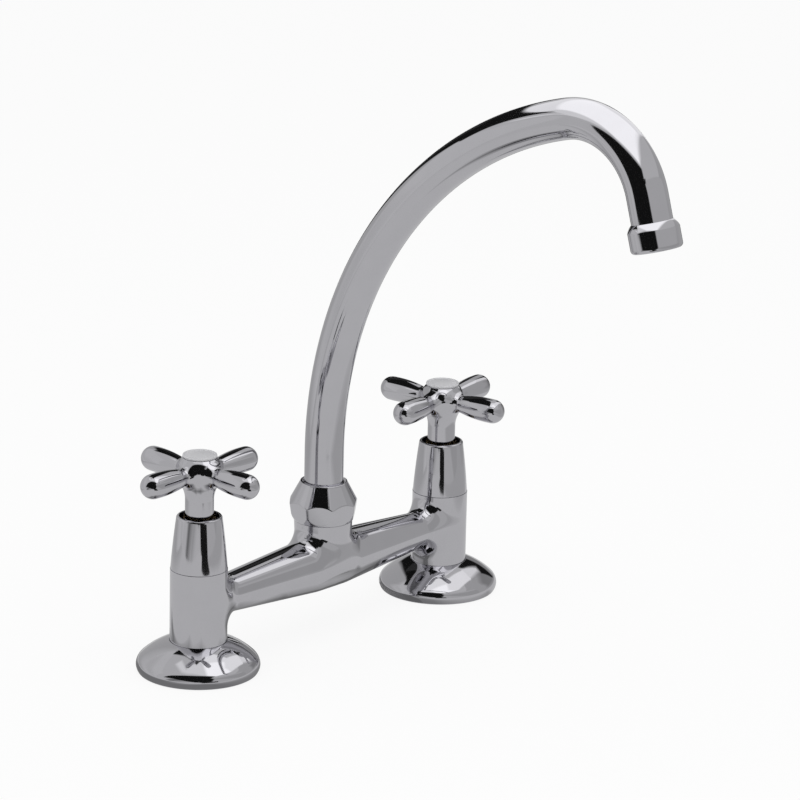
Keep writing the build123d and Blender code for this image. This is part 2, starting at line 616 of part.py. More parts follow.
def union_nut():
    """A skirt with eight leaning flats under a smooth cone, whose lower edge they cut into arches."""
    base = (NUT_BOTTOM_RADIUS, BOSS_TOP + SEAM_BREAK)
    ridge = (NUT_RIDGE_RADIUS, NUT_RIDGE_HEIGHT)
    rim = (NUT_RIM_RADIUS, NUT_TOP - NUT_RIM_EDGE)
    rim_via = (NUT_RIM_RADIUS - NUT_RIM_EDGE * (1 - cos(pi / 4)), NUT_TOP - NUT_RIM_EDGE * (1 - sin(pi / 4)))
    nut = turned((0, BOSS_TOP), (NUT_BOTTOM_RADIUS - SEAM_BREAK, BOSS_TOP), base,
                 (bulged(base, ridge, NUT_SIDE_BULGE), ridge), rim,
                 (rim_via, (NUT_RIM_RADIUS - NUT_RIM_EDGE, NUT_TOP)), (0, NUT_TOP))
    lean = (NUT_RIDGE_RADIUS - NUT_FOOT_CORNER) / (NUT_RIDGE_HEIGHT - BOSS_TOP)
    top_corner = NUT_FOOT_CORNER + lean * (NUT_TOP - BOSS_TOP)
    nut = nut & loft([octagon(NUT_FOOT_CORNER, BOSS_TOP), octagon(top_corner, NUT_TOP)])
    nut = nut - rod(SPIGOT_RADIUS + THREAD_GAP, BOSS_TOP, SPOUT_FOOT + RUNNING_GAP)
    mouth = SPOUT_RADIUS + SLIP_GAP
    nut = nut - rod(mouth, SPOUT_FOOT, NUT_TOP)
    return nut - turned((0, NUT_TOP - NUT_MOUTH_CHAMFER), (mouth, NUT_TOP - NUT_MOUTH_CHAMFER),
                        (mouth + NUT_MOUTH_CHAMFER, NUT_TOP), (0, NUT_TOP))


# ---------------------------------------------------------------- spout
SPOUT_PLANE = Plane(origin=(0, 0, 0), x_dir=(0, -1, 0), z_dir=(-1, 0, 0))
TUBE_BORE = SPOUT_RADIUS - SPOUT_WALL


def spout_path(tail):
    """Centreline from the spout's foot, up, over the bend and down, with a straight tail."""
    rise = Line((0, SPOUT_FOOT), (0, SPOUT_RISE))
    sweep_arc = JernArc(rise @ 1, (0, 1), SPOUT_SWEEP_RADIUS, -SPOUT_SWEEP_ANGLE)
    hook = JernArc(sweep_arc @ 1, sweep_arc % 1, SPOUT_HOOK_RADIUS, -SPOUT_HOOK_ANGLE)
    end = Line(hook @ 1, (hook @ 1) + (hook % 1) * tail)
    return SPOUT_PLANE * Wire([rise, sweep_arc, hook, end])


def outlet_place():
    """A frame at the start of the nozzle, its Z axis along the falling water."""
    path = spout_path(SPOUT_TAIL)
    return Plane(origin=path @ 1, x_dir=(1, 0, 0), z_dir=path % 1).location


def spout_tube():
    path = spout_path(SPOUT_TAIL + NOZZLE_SOCKET)
    start = Pos(0, 0, SPOUT_FOOT)
    outer = sweep(start * Circle(SPOUT_RADIUS), path)
    inner = sweep(start * Circle(TUBE_BORE), path)
    return outer - inner


def spout_bush():
    outer = SOCKET_RADIUS - RUNNING_GAP
    bush = rod(outer, BUSH_BOTTOM, SPOUT_COLLAR_BOTTOM)
    for height in BUSH_RING_HEIGHTS:
        half = BUSH_RING_SECTION + FACE_GAP
        bush = bush - ring(outer - BUSH_GROOVE_DEPTH, outer + CUT_MARGIN, height - half, height + half)
    bush = bush + rod(SPOUT_COLLAR_RADIUS, SPOUT_COLLAR_BOTTOM, SPOUT_FOOT)
    bush = bush + rod(TUBE_BORE - FACE_GAP, SPOUT_FOOT, SPOUT_FOOT + BUSH_SPIGOT_LENGTH)
    return bush - rod(BUSH_BORE, BUSH_BOTTOM, SPOUT_FOOT + BUSH_SPIGOT_LENGTH)


def spout_seals():
    return seal_rings(BUSH_RING_HEIGHTS, BUSH_RING_SECTION, SOCKET_RADIUS - RUNNING_GAP)


def swivel_washer():
    return ring(SOCKET_RADIUS + SLIP_GAP, SPIGOT_RADIUS - SLIP_GAP, SPIGOT_TOP, SPOUT_COLLAR_BOTTOM - FACE_GAP)


# ---------------------------------------------------------------- outlet
AERATOR_SEAT = NOZZLE_SOCKET + AERATOR_STEP
AERATOR_TOP = AERATOR_SEAT + AERATOR_WASHER_THICKNESS
AERATOR_END = NOZZLE_LENGTH - AERATOR_RECESS


def spout_nozzle():
    """The collar at the spout's end, built along +Z and then set on the tube."""
    start = (SPOUT_RADIUS + FACE_GAP, 0)
    wide = (NOZZLE_RADIUS, NOZZLE_SHOULDER)
    edge = NOZZLE_LENGTH - NOZZLE_EDGE_RADIUS
    inset = NOZZLE_EDGE_RADIUS * ARC_INSET
    corner = (NOZZLE_RADIUS - inset, NOZZLE_LENGTH - inset)
    collar = turned(start, (bulged(start, wide, NOZZLE_SHOULDER_BULGE), wide), (NOZZLE_RADIUS, edge),
                    (corner, (NOZZLE_RADIUS - NOZZLE_EDGE_RADIUS, NOZZLE_LENGTH)),
                    (AERATOR_RADIUS + THREAD_GAP, NOZZLE_LENGTH), (AERATOR_RADIUS + THREAD_GAP, AERATOR_SEAT),
                    (AERATOR_LIP, AERATOR_SEAT), (AERATOR_LIP, NOZZLE_SOCKET), (start[0], NOZZLE_SOCKET))
    return outlet_place() * collar


def aerator_washer():
    return outlet_place() * ring(AERATOR_LIP, AERATOR_RADIUS, AERATOR_SEAT, AERATOR_TOP)


def aerator_insert():
    cup = rod(AERATOR_RADIUS, AERATOR_TOP, AERATOR_END)
    cup = cup - rod(AERATOR_RADIUS - AERATOR_RIM, AERATOR_TOP, AERATOR_END - AERATOR_FACE)
    hole = rod(AERATOR_HOLE_RADIUS, AERATOR_TOP, AERATOR_END)
    holes = [hole]
    for band in range(1, AERATOR_HOLE_RINGS + 1):
        count = 6 * band
        radius = band * AERATOR_HOLE_PITCH
        holes += [Pos(radius * cos(2 * pi * i / count), radius * sin(2 * pi * i / count), 0) * hole
                  for i in range(count)]
    return outlet_place() * (cup - holes)


# ---------------------------------------------------------------- assembly
save(bridge_body(), "bridge_body")
for side in SIDES:
    place = pillar_place(side)
    save(place * flange(), f"flange_{side}")
    save(place * base_seal(), f"base_seal_{side}")
    save(place * shank(), f"shank_{side}")
    save(place * deck_rubber_washer(), f"deck_rubber_washer_{side}")
    save(place * deck_steel_washer(), f"deck_steel_washer_{side}")
    save(place * back_nut(), f"back_nut_{side}")
    save(place * seat_seal(), f"seat_seal_{side}")
    save(place * fixed_disc(), f"fixed_disc_{side}")
    save(place * moving_disc(), f"moving_disc_{side}")
    save(place * valve_body(), f"valve_body_{side}")
    save(place * joint_washer(), f"joint_washer_{side}")
    save(place * valve_spindle(side), f"valve_spindle_{side}")
    save(place * spindle_seals(), f"spindle_seals_{side}")
    save(place * spindle_clip(), f"spindle_clip_{side}")
    save(place * bonnet(), f"bonnet_{side}")
    save(place * handle(side), f"handle_{side}")
    save(place * handle_screw(), f"handle_screw_{side}")
    save(place * index_cap(), f"index_cap_{side}")
save(union_nut(), "union_nut")
save(swivel_washer(), "swivel_washer")
save(spout_bush(), "spout_bush")
save(spout_seals(), "spout_seals")
save(spout_tube(), "spout_tube")
save(spout_nozzle(), "spout_nozzle")
save(aerator_washer(), "aerator_washer")
save(aerator_insert(), "aerator_insert")
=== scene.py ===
"""Bridge kitchen faucet: the shapes and finishes that show, made round the construction model.

Metres, in the model's own frame: the deck is z = 0, X runs along the bridge and the spout
reaches towards -Y. An outline is a list of (radius, height) points.
"""
import json
import math

import bmesh
import bpy
import numpy as np
from bpy.props import FloatProperty, FloatVectorProperty, IntProperty, PointerProperty
from mathutils import Matrix, Vector


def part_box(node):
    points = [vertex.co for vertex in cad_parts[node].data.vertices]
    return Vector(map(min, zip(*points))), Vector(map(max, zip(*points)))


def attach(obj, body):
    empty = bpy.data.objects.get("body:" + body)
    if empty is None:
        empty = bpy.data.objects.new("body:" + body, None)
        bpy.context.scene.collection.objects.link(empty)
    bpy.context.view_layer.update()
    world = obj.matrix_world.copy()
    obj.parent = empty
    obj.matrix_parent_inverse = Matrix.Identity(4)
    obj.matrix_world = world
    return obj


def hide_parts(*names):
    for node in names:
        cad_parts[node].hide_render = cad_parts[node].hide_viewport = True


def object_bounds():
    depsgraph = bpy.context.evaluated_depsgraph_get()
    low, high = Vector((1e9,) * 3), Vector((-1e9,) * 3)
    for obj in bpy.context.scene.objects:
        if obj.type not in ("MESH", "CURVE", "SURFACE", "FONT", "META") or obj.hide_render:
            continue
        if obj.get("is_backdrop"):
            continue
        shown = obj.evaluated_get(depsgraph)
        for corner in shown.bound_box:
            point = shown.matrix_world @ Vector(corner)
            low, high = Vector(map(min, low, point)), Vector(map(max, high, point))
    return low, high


bl_info = {
    "name": "Bridge kitchen faucet",
    "version": (1, 0, 0),
    "blender": (4, 5, 0),
    "location": "View3D > Sidebar > Faucet",
    "description": "Builds the plated pieces of a bridge kitchen faucet and the studio round it",
    "category": "Add Mesh",
}

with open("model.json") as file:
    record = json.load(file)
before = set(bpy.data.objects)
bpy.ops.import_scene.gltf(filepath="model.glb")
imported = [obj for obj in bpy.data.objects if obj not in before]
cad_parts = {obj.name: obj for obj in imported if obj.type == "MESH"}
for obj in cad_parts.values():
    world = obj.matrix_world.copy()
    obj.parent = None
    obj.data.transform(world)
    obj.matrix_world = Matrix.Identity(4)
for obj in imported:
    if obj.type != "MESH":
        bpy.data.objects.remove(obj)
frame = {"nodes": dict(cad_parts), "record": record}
CAD_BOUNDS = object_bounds()
MM = 0.001
SIDES = ("left", "right")
ROUND_STEPS = 192
ROUGH_STEPS = 48
NUT_STEPS = 480
OUTLINE_SPACING = 0.4 * MM
CORNER_ANGLE = math.radians(25)
CREASE_ANGLE = math.radians(50)
CORNER_EDGE = 0.25 * MM
CORNER_STEPS = 4
MERGE_DISTANCE = 1e-7
TINY = 1e-9
STRAIGHT = 1e-12
# How far the middle of a rounded edge lies inside its corner, as a share of the rounding.
ROUND_SLANT = 1 - math.sqrt(0.5)
FLAT_SLANT = 0.3


# ---------------------------------------------------------------- the frame's own sizes
def middle(node):
    """The place of a round upright node's axis on the deck."""
    low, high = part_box(node)
    return Vector(((low.x + high.x) / 2, (low.y + high.y) / 2, 0))


def radius_of(node):
    low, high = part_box(node)
    return (high.x - low.x) / 2


def top_of(node):
    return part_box(node)[1].z


def bottom_of(node):
    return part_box(node)[0].z


PILLARS = {side: middle(f"flange_{side}") for side in SIDES}
HALF_SPACING = PILLARS["right"].x
PILLAR_TOP = bottom_of("bonnet_left")
BOSS_TOP = bottom_of("union_nut")
PILLAR_BOTTOM = top_of("base_seal_left")
HUB_TOP = top_of("handle_left")
HUB_BOTTOM = bottom_of("handle_left")
TUBE_FOOT = top_of("spout_seals") + 10 * MM


# ---------------------------------------------------------------- kinds of setting
def length(name, millimetres, description):
    return FloatProperty(name=name, description=description, default=millimetres * MM,
                         unit="LENGTH", precision=5)


def angle(name, degrees, description):
    return FloatProperty(name=name, description=description, default=math.radians(degrees),
                         subtype="ANGLE")


def colour(name, value, description):
    return FloatVectorProperty(name=name, description=description, default=value, size=3,
                               subtype="COLOR", min=0, max=1)


def share(name, value, description):
    return FloatProperty(name=name, description=description, default=value, min=0, max=1,
                         subtype="FACTOR")


def number(name, value, least, most, description):
    return IntProperty(name=name, description=description, default=value, min=least, max=most)


# ---------------------------------------------------------------- node trees
class Value:
    """One output socket. Arithmetic on it adds Math nodes to its tree."""

    def __init__(self, nodes, socket):
        self.nodes = nodes
        self.socket = socket

    def maths(self, operation, *values):
        return self.nodes.add("ShaderNodeMath", {"operation": operation}, *values)

    def __add__(self, other):
        return self.maths("ADD", self, other)

    def __radd__(self, other):
        return self.maths("ADD", other, self)

    def __sub__(self, other):
        return self.maths("SUBTRACT", self, other)

    def __rsub__(self, other):
        return self.maths("SUBTRACT", other, self)

    def __mul__(self, other):
        return self.maths("MULTIPLY", self, other)

    def __rmul__(self, other):
        return self.maths("MULTIPLY", other, self)

    def __truediv__(self, other):
        return self.maths("DIVIDE", self, other)


class Nodes:
    """A node tree that is filled by one method."""

    def __init__(self, tree):
        self.tree = tree
        tree.nodes.clear()

    def add(self, kind, settings=None, *values, out=0, sockets=None):
        """A new node: its settings first, then its inputs by order or by name. Gives one output."""
        made = self.tree.nodes.new(kind)
        for key, setting in (settings or {}).items():
            setattr(made, key, setting)
        for key, value in list(enumerate(values)) + list((sockets or {}).items()):
            if isinstance(value, Value):
                self.tree.links.new(value.socket, made.inputs[key])
            else:
                made.inputs[key].default_value = value
        return Value(self, made.outputs[out]) if made.outputs else None


# ---------------------------------------------------------------- finishes
# The colour sockets of a Mix node share their names with others, so they go by their places.
MIX_FACTOR, MIX_FIRST, MIX_SECOND, MIX_RESULT = 0, 6, 7, 2


def new_finish(name):
    made = bpy.data.materials.new(name)
    made.use_nodes = True
    return made, Nodes(made.node_tree)


def speckle(nodes, size, stretch=(1, 1, 1), detail=3):
    """A grey noise between 0 and 1, fixed to the piece, whose blotches are about size across."""
    coordinates = nodes.add("ShaderNodeTexCoord", out="Object")
    place = nodes.add("ShaderNodeMapping", sockets={"Vector": coordinates, "Scale": stretch})
    return nodes.add("ShaderNodeTexNoise", {"noise_dimensions": "3D"},
                     sockets={"Vector": place, "Scale": 1 / size, "Detail": detail})


def tinted(nodes, factor, shade, dark, light):
    """The shade times dark, to the shade times light, by a factor."""
    ends = [(*(min(1, channel * level) for channel in shade), 1) for level in (dark, light)]
    return nodes.add("ShaderNodeMix", {"data_type": "RGBA"}, out=MIX_RESULT,
                     sockets={MIX_FACTOR: factor, MIX_FIRST: ends[0], MIX_SECOND: ends[1]})


def surface(nodes, relief, depth, sockets):
    """The material's shader, with a relief of that depth where it has one."""
    if depth:
        sockets["Normal"] = nodes.add("ShaderNodeBump", sockets={
            "Strength": 1.0, "Distance": depth, "Height": relief})
    shader = nodes.add("ShaderNodeBsdfPrincipled", sockets=sockets)
    nodes.add("ShaderNodeOutputMaterial", sockets={"Surface": shader})


# The patterns of the finishes, as (size, stretch, detail).
PLATE_CLOUD = (9 * MM, (1, 1, 1), 3)
WIPE_MARKS = (0.8 * MM, (1, 1, 0.15), 2)
TURNED_LINES = (4 * MM, (1, 1, 12), 2)
STAIN = (6 * MM, (1, 1, 1), 3)
BRUSH_LINES = (3 * MM, (1, 14, 1), 4)
LAPPING = (2 * MM, (1, 1, 1), 3)
BLOOM = (0.5 * MM, (1, 1, 1), 3)
PAPER_THREADS = (1.2 * MM, (1, 6, 1), 5)
CLOUDING = (3 * MM, (1, 1, 1), 3)
MOULD_GRAIN = (0.25 * MM, (1, 1, 1), 3)


def chrome_plate(s):
    """Bright plating: a near mirror with faint wipe marks and a polished casting's slow ripple."""
    made, nodes = new_finish("chrome_plate")
    cloud, wipe = speckle(nodes, *PLATE_CLOUD), speckle(nodes, *WIPE_MARKS)
    ripple = speckle(nodes, s.ripple_width, detail=1)
    surface(nodes, ripple, s.ripple_depth, {
        "Base Color": tinted(nodes, cloud, s.plate, 0.97, 1.03), "Metallic": 1.0,
        "Roughness": s.gloss_loss * (0.6 + 0.5 * cloud + 0.3 * wipe)})
    return made


def patterned(name, shade, tones, patterns, gloss, depth=0, **sockets):
    """A finish from the patterns of its colour, its roughness and its relief.

    The colour runs between two tones of the shade, and gloss is the least roughness and its rise.
    """
    made, nodes = new_finish(name)
    grains = {pattern: speckle(nodes, *pattern) for pattern in patterns}
    tone, rough, relief = (grains[pattern] for pattern in patterns)
    surface(nodes, relief, depth, {"Base Color": tinted(nodes, tone, shade, *tones),
                                   "Roughness": gloss[0] + gloss[1] * rough, **sockets})
    return made


def smooth_plastic(name, shade, roughness):
    return patterned(name, shade, (0.96, 1), (CLOUDING, CLOUDING, MOULD_GRAIN), (roughness, 0.08),
                     0.004 * MM)


FINISHES = {}


def make_finishes(s):
    """Every finish, under the record's slot name that it is used for."""
    FINISHES.update({
        "chrome": chrome_plate(s),
        "brass": patterned("machined_brass", s.brass, (0.8, 1), (STAIN, TURNED_LINES, TURNED_LINES),
                           (0.24, 0.16), 0.02 * MM, Metallic=1.0),
        "steel": patterned("brushed_steel", s.steel, (0.85, 1), (BRUSH_LINES,) * 3,
                           (0.26, 0.18), 0.01 * MM, Metallic=1.0),
        "ceramic": patterned("lapped_ceramic", s.ceramic, (0.94, 1), (LAPPING,) * 3,
                             (0.12, 0.1), **{"Coat Weight": 0.3}),
        "rubber": patterned("moulded_rubber", s.rubber, (0.7, 1.6), (BLOOM,) * 3,
                            (0.55, 0.25), 0.03 * MM),
        "fibre": patterned("pressed_fibre", s.fibre, (0.6, 1.2), (PAPER_THREADS,) * 3,
                           (0.8, 0.1), 0.05 * MM),
        "white_plastic": smooth_plastic("white_acetal", s.white_plastic, 0.35),
        "grey_plastic": smooth_plastic("grey_insert", s.grey_plastic, 0.4),
        "cap_plastic": smooth_plastic("pale_cap", s.cap, 0.22),
    })


# ---------------------------------------------------------------- outlines
def bulged(start, end, bulge):
    """The middle of an arc from start to end that stands out by bulge, away from the axis."""
    run, rise = end[0] - start[0], end[1] - start[1]
    reach = math.hypot(run, rise)
    return ((start[0] + end[0]) / 2 + bulge * rise / reach,
            (start[1] + end[1]) / 2 - bulge * run / reach)


def round_edge(radius, top, edge, slant=ROUND_SLANT):
    """Where the rounding of an upper outer edge starts, and the step that goes round it."""
    return (radius, top - edge), ((radius - slant * edge, top - slant * edge), (radius - edge, top))


def arc_points(start, via, end):
    """Points from start to end, without start, on the circle through all three."""
    (ax, ay), (bx, by), (cx, cy) = start, via, end
    twist = 2 * (ax * (by - cy) + bx * (cy - ay) + cx * (ay - by))
    if abs(twist) < STRAIGHT:
        return line_points(start, end)
    a2, b2, c2 = ax * ax + ay * ay, bx * bx + by * by, cx * cx + cy * cy
    x = (a2 * (by - cy) + b2 * (cy - ay) + c2 * (ay - by)) / twist
    y = (a2 * (cx - bx) + b2 * (ax - cx) + c2 * (bx - ax)) / twist
    first, halfway, last = (math.atan2(p[1] - y, p[0] - x) for p in (start, via, end))
    turn = (last - first) % (2 * math.pi)
    if (halfway - first) % (2 * math.pi) > turn:
        turn -= 2 * math.pi
    radius = math.hypot(ax - x, ay - y)
    count = max(4, math.ceil(abs(turn) * radius / OUTLINE_SPACING))
    turns = [first + turn * i / count for i in range(1, count + 1)]
    return [(x + radius * math.cos(turn), y + radius * math.sin(turn)) for turn in turns]


def line_points(start, end):
    run, rise = end[0] - start[0], end[1] - start[1]
    count = max(1, math.ceil(math.hypot(run, rise) / OUTLINE_SPACING))
    return [(start[0] + run * i / count, start[1] + rise * i / count) for i in range(1, count + 1)]


def outline(start, *steps, closed=True, edge=CORNER_EDGE):
    """Close points with eased corners along steps: a point each, or (via, end) for an arc."""
    points = [start]
    for step in steps:
        if isinstance(step[0], tuple):
            points += arc_points(points[-1], *step)
        else:
            points += line_points(points[-1], step)
    if closed:
        points += line_points(points[-1], start)[:-1]
    return eased(points, closed, edge)


def eased(points, closed, edge):
    """Each sharp corner is replaced by a small curve that starts edge away from it."""
    count = len(points)
    made = []
    for i, corner in enumerate(points):
        here = Vector(corner)
        turn = here - Vector(points[i - 1])
        onward = Vector(points[(i + 1) % count]) - here
        inner = closed or 0 < i < count - 1
        if not inner or min(turn.length, onward.length) < TINY or turn.angle(onward) < CORNER_ANGLE:
            made.append(corner)
            continue
        reach = min(edge, turn.length / 2, onward.length / 2)
        near = here - turn.normalized() * reach
        far = here + onward.normalized() * reach
        for t in (i / CORNER_STEPS for i in range(CORNER_STEPS + 1)):
            made.append(tuple(near * (1 - t) ** 2 + here * 2 * t * (1 - t) + far * t * t))
    return made


# ---------------------------------------------------------------- meshes
def linked(name, data):
    """A new object in the scene, at the origin."""
    made = bpy.data.objects.new(name, data)
    bpy.context.scene.collection.objects.link(made)
    return made


def add_piece(name, mesh, body, slot, *nodes):
    """Links a finished mesh as a piece that rides on a body and stands for the named nodes."""
    piece = linked(name, mesh)
    mesh.materials.clear()
    mesh.materials.append(FINISHES[slot])
    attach(piece, body)
    if nodes:
        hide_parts(*nodes)


def plain_mesh(piece, name):
    """The mesh that an object's modifiers make."""
    graph = bpy.context.evaluated_depsgraph_get()
    mesh = bpy.data.meshes.new_from_object(piece.evaluated_get(graph), depsgraph=graph)
    mesh.name = name
    return mesh


def smoothed(mesh, crease=None):
    """Merged points, faces that look outwards, and smooth shading but for edges past the crease."""
    work = bmesh.new()
    work.from_mesh(mesh)
    bmesh.ops.remove_doubles(work, verts=work.verts, dist=MERGE_DISTANCE)
    bmesh.ops.recalc_face_normals(work, faces=work.faces)
    for face in work.faces:
        face.smooth = True
    if crease:
        for edge in work.edges:
            edge.smooth = not (edge.is_manifold and edge.calc_face_angle(0) > crease)
    work.to_mesh(mesh)
    work.free()
    return mesh


def mesh_from_rings(name, rings, turn, closed):
    """The surface through rings about Z, each a radius or one for each turn, and a height."""
    rows = np.empty((len(rings), len(turn), 3))
    for row, (radius, height) in zip(rows, rings):
        row[:, 0] = radius * np.cos(turn)
        row[:, 1] = radius * np.sin(turn)
        row[:, 2] = height
    index = np.arange(len(rings) * len(turn)).reshape(len(rings), len(turn))
    below = index if closed else index[:-1]
    above = np.roll(index, -1, axis=0) if closed else index[1:]
    corners = [below, np.roll(below, -1, axis=1), np.roll(above, -1, axis=1), above]
    faces = np.stack(corners, -1).reshape(-1, 4)
    mesh = bpy.data.meshes.new(name)
    mesh.from_pydata(rows.reshape(-1, 3).tolist(), [], faces.tolist())
    return smoothed(mesh)


def framed(origin, right, up, back):
    """The matrix that puts X, Y and Z along three directions at a place."""
    return Matrix.Translation(origin) @ Matrix((right, up, back)).transposed().to_4x4()


def full_circle(steps):
    return np.linspace(0, 2 * math.pi, steps, endpoint=False)


def turned(name, points, place=Matrix.Identity(4), closed=True, steps=ROUND_STEPS):
    """The surface that an outline makes when it is turned about Z."""
    mesh = mesh_from_rings(name, points, full_circle(steps), closed)
    mesh.transform(place)
    return mesh


def upright(side):
    return Matrix.Translation(PILLARS[side])


# ---------------------------------------------------------------- blended castings
def round_union(a, b, radius):
    """Two distance fields joined by a fillet of that radius."""
    return (np.maximum(radius, np.minimum(a, b))
            - np.hypot(np.maximum(radius - a, 0), np.maximum(radius - b, 0)))


def pull_to(field, points, rounds=4, step=1e-6, least_slope=1e-6):
    """Moves points along the field's slope until it is zero there."""
    for _ in range(rounds):
        here = field(points)
        slope = np.stack([(field(points + offset) - field(points - offset)) / (2 * step)
                          for offset in np.eye(3) * step], -1)
        steepness = np.maximum((slope * slope).sum(-1), least_slope)
        points = points - slope * (here / steepness)[:, None]
    return points


def relax(points, edges, weight=0.5):
    """Moves each point part of the way to the average of its neighbours."""
    total = np.zeros_like(points)
    count = np.zeros(len(points))
    for a, b in ((0, 1), (1, 0)):
        np.add.at(total, edges[:, a], points[edges[:, b]])
        np.add.at(count, edges[:, a], 1)
    return points + weight * (total / count[:, None] - points)


def casting(name, rough_meshes, field, voxel, rounds=6):
    """One smooth skin over overlapping rough meshes, drawn on to a distance field."""
    work = bmesh.new()
    for mesh in rough_meshes:
        work.from_mesh(mesh)
    joined = bpy.data.meshes.new(name + "_rough")
    work.to_mesh(joined)
    work.free()
    rough = linked(name + "_rough", joined)
    modifier = rough.modifiers.new("skin", "REMESH")
    modifier.mode = "VOXEL"
    modifier.voxel_size = voxel
    mesh = plain_mesh(rough, name)
    bpy.data.objects.remove(rough)
    points = np.empty(len(mesh.vertices) * 3)
    mesh.vertices.foreach_get("co", points)
    edges = np.empty(len(mesh.edges) * 2, int)
    mesh.edges.foreach_get("vertices", edges)
    edges = edges.reshape(-1, 2)
    points = pull_to(field, points.reshape(-1, 3))
    for _ in range(rounds):
        points = pull_to(field, relax(points, edges), 2)
    mesh.vertices.foreach_set("co", points.ravel())
    mesh.update()
    return mesh


def sliced(mesh, cuts):
    """Cuts the mesh at levels, as (height, whether what is below stays, the faces' test)."""
    work = bmesh.new()
    work.from_mesh(mesh)
    for face in work.faces:
        face.smooth = True
    for height, keep_below, choose in cuts:
        faces = [face for face in work.faces if choose(face.calc_center_median())]
        # A dict keeps the order, so that each run numbers the points alike.
        chosen = dict.fromkeys(faces)
        for face in faces:
            chosen.update(dict.fromkeys((*face.verts, *face.edges)))
        cut = bmesh.ops.bisect_plane(
            work, geom=list(chosen), plane_co=(0, 0, height), plane_no=(0, 0, 1),
            clear_outer=keep_below, clear_inner=not keep_below)
        rim = [item for item in cut["geom_cut"] if isinstance(item, bmesh.types.BMEdge)]
        for edge in rim:
            edge.smooth = False
        made = bmesh.ops.edgenet_fill(work, edges=[edge for edge in rim if edge.is_boundary])
        for face in made["faces"]:
            face.smooth = False
    bmesh.ops.recalc_face_normals(work, faces=work.faces)
    work.to_mesh(mesh)
    work.free()
    return mesh


# ---------------------------------------------------------------- bridge body
class BridgeSizes(bpy.types.PropertyGroup):
    """Sizes of the casting that joins both pillars and the centre boss."""

    pillar_radius: length("Pillar radius", 14.4, "Radius of both upright pillars")
    arm_height: length("Arm height", 35.45, "Height of the arms' axis over the deck")
    arm_root: length("Arm root radius", 14.1, "Radius of the arms in the middle")
    arm_root_run: length("Arm root run", 10.0, "Half length of the round bar in the middle")
    arm_tip: length("Arm tip radius", 9.3, "Radius of the arms where they meet the pillars")
    arm_ease: length("Arm ease", 2.2, "Half length of the curve from bar to cone")
    boss_radius: length("Boss radius", 14.95, "Radius of the centre boss at its top")
    boss_root: length("Boss root radius", 13.8, "Radius of the centre boss at the arms' axis")
    boss_fillet: length("Boss fillet", 6.5, "Fillet between the boss and the arms")
    pillar_fillet: length("Pillar fillet", 7.6, "Fillet between the arms and the pillars")
    voxel: length("Mesh size", 0.75, "Size of the mesh's squares")


def bridge_field(s):
    """The distance field of the whole casting, before its ends are cut."""
    cone_run = HALF_SPACING - s.pillar_radius - s.arm_root_run
    taper = (s.arm_root - s.arm_tip) / cone_run
    boss_taper = (s.boss_radius - s.boss_root) / (BOSS_TOP - s.arm_height)

    def field(p):
        x, y, z = np.abs(p[:, 0]), p[:, 1], p[:, 2]
        past_bar = x - s.arm_root_run
        eased_run = np.clip((past_bar + s.arm_ease) / (2 * s.arm_ease), 0, 1)
        cone = np.where(past_bar > s.arm_ease, past_bar, s.arm_ease * eased_run ** 2)
        arm_radius = s.arm_root - taper * cone
        arms = np.maximum(np.hypot(y, z - s.arm_height) - arm_radius, x - HALF_SPACING)
        side = np.hypot(x, y) - (s.boss_root + boss_taper * np.maximum(z - s.arm_height, 0))
        boss = np.maximum(side, s.arm_height - z)
        pillars = np.hypot(x - HALF_SPACING, y) - s.pillar_radius
        return round_union(round_union(arms, boss, s.boss_fillet), pillars, s.pillar_fillet)

    return field


def rough_rod(radius, start, end, place=Matrix.Identity(4)):
    """A closed plain bar about Z that a casting's skin starts from."""
    points = [(0, start), (radius, start), (radius, end), (0, end)]
    return turned("rough_rod", points, place, closed=False, steps=ROUGH_STEPS)


def bridge_mesh(s):
    over = 3 * MM
    along_x = Matrix.Rotation(math.pi / 2, 4, "Y")
    along = Matrix.Translation((0, 0, s.arm_height)) @ along_x
    bottom, top = PILLAR_BOTTOM - over, PILLAR_TOP + over
    rough = [rough_rod(s.arm_tip, -HALF_SPACING, HALF_SPACING, along),
             rough_rod(s.arm_root, -2 * s.arm_root_run, 2 * s.arm_root_run, along),
             rough_rod(s.boss_root, s.arm_height, BOSS_TOP + over),
             *(rough_rod(s.pillar_radius, bottom, top, upright(side)) for side in SIDES)]
    mesh = casting("bridge_body", rough, bridge_field(s), s.voxel)
    half = HALF_SPACING / 2
    return sliced(mesh, [(PILLAR_TOP, True, lambda c: abs(c.x) > half),
                         (BOSS_TOP, True, lambda c: abs(c.x) < half),
                         (PILLAR_BOTTOM, False, lambda c: abs(c.x) > half)])


class FAUCET_OT_bridge(bpy.types.Operator):
    """Builds the casting with both pillars, the arms and the boss"""

    bl_idname = "faucet.bridge"
    bl_label = "Bridge body"

    def execute(self, context):
        mesh = bridge_mesh(context.scene.faucet_bridge)
        add_piece("bridge_casting", mesh, "root", "chrome", "bridge_body")
        return {"FINISHED"}


# ---------------------------------------------------------------- deck flanges
class FlangeSizes(bpy.types.PropertyGroup):
    """Sizes of the domed flanges round the pillars' feet."""

    radius: length("Radius", radius_of("flange_left") / MM, "Largest radius of the flange")
    base_radius: length("Base radius", 30.0, "Radius where the flange meets the deck")
    rim_height: length("Rim height", 3.0, "Height at which the flange is widest")
    shoulder: length("Shoulder radius", 6.0, "Radius of the rounded shoulder")
    shoulder_angle: angle("Shoulder angle", 45, "Turn of the rounded shoulder")
    rim_bulge: length("Rim bulge", 0.2, "How far the rim stands out between deck and widest part")
    crown: length("Crown", 0.95, "Rise of the dome over a straight cone")
    hole: length("Hole radius", 14.55, "Radius of the hole round the pillar")
    wall: length("Wall", 1.4, "Thickness of the pressed brass")


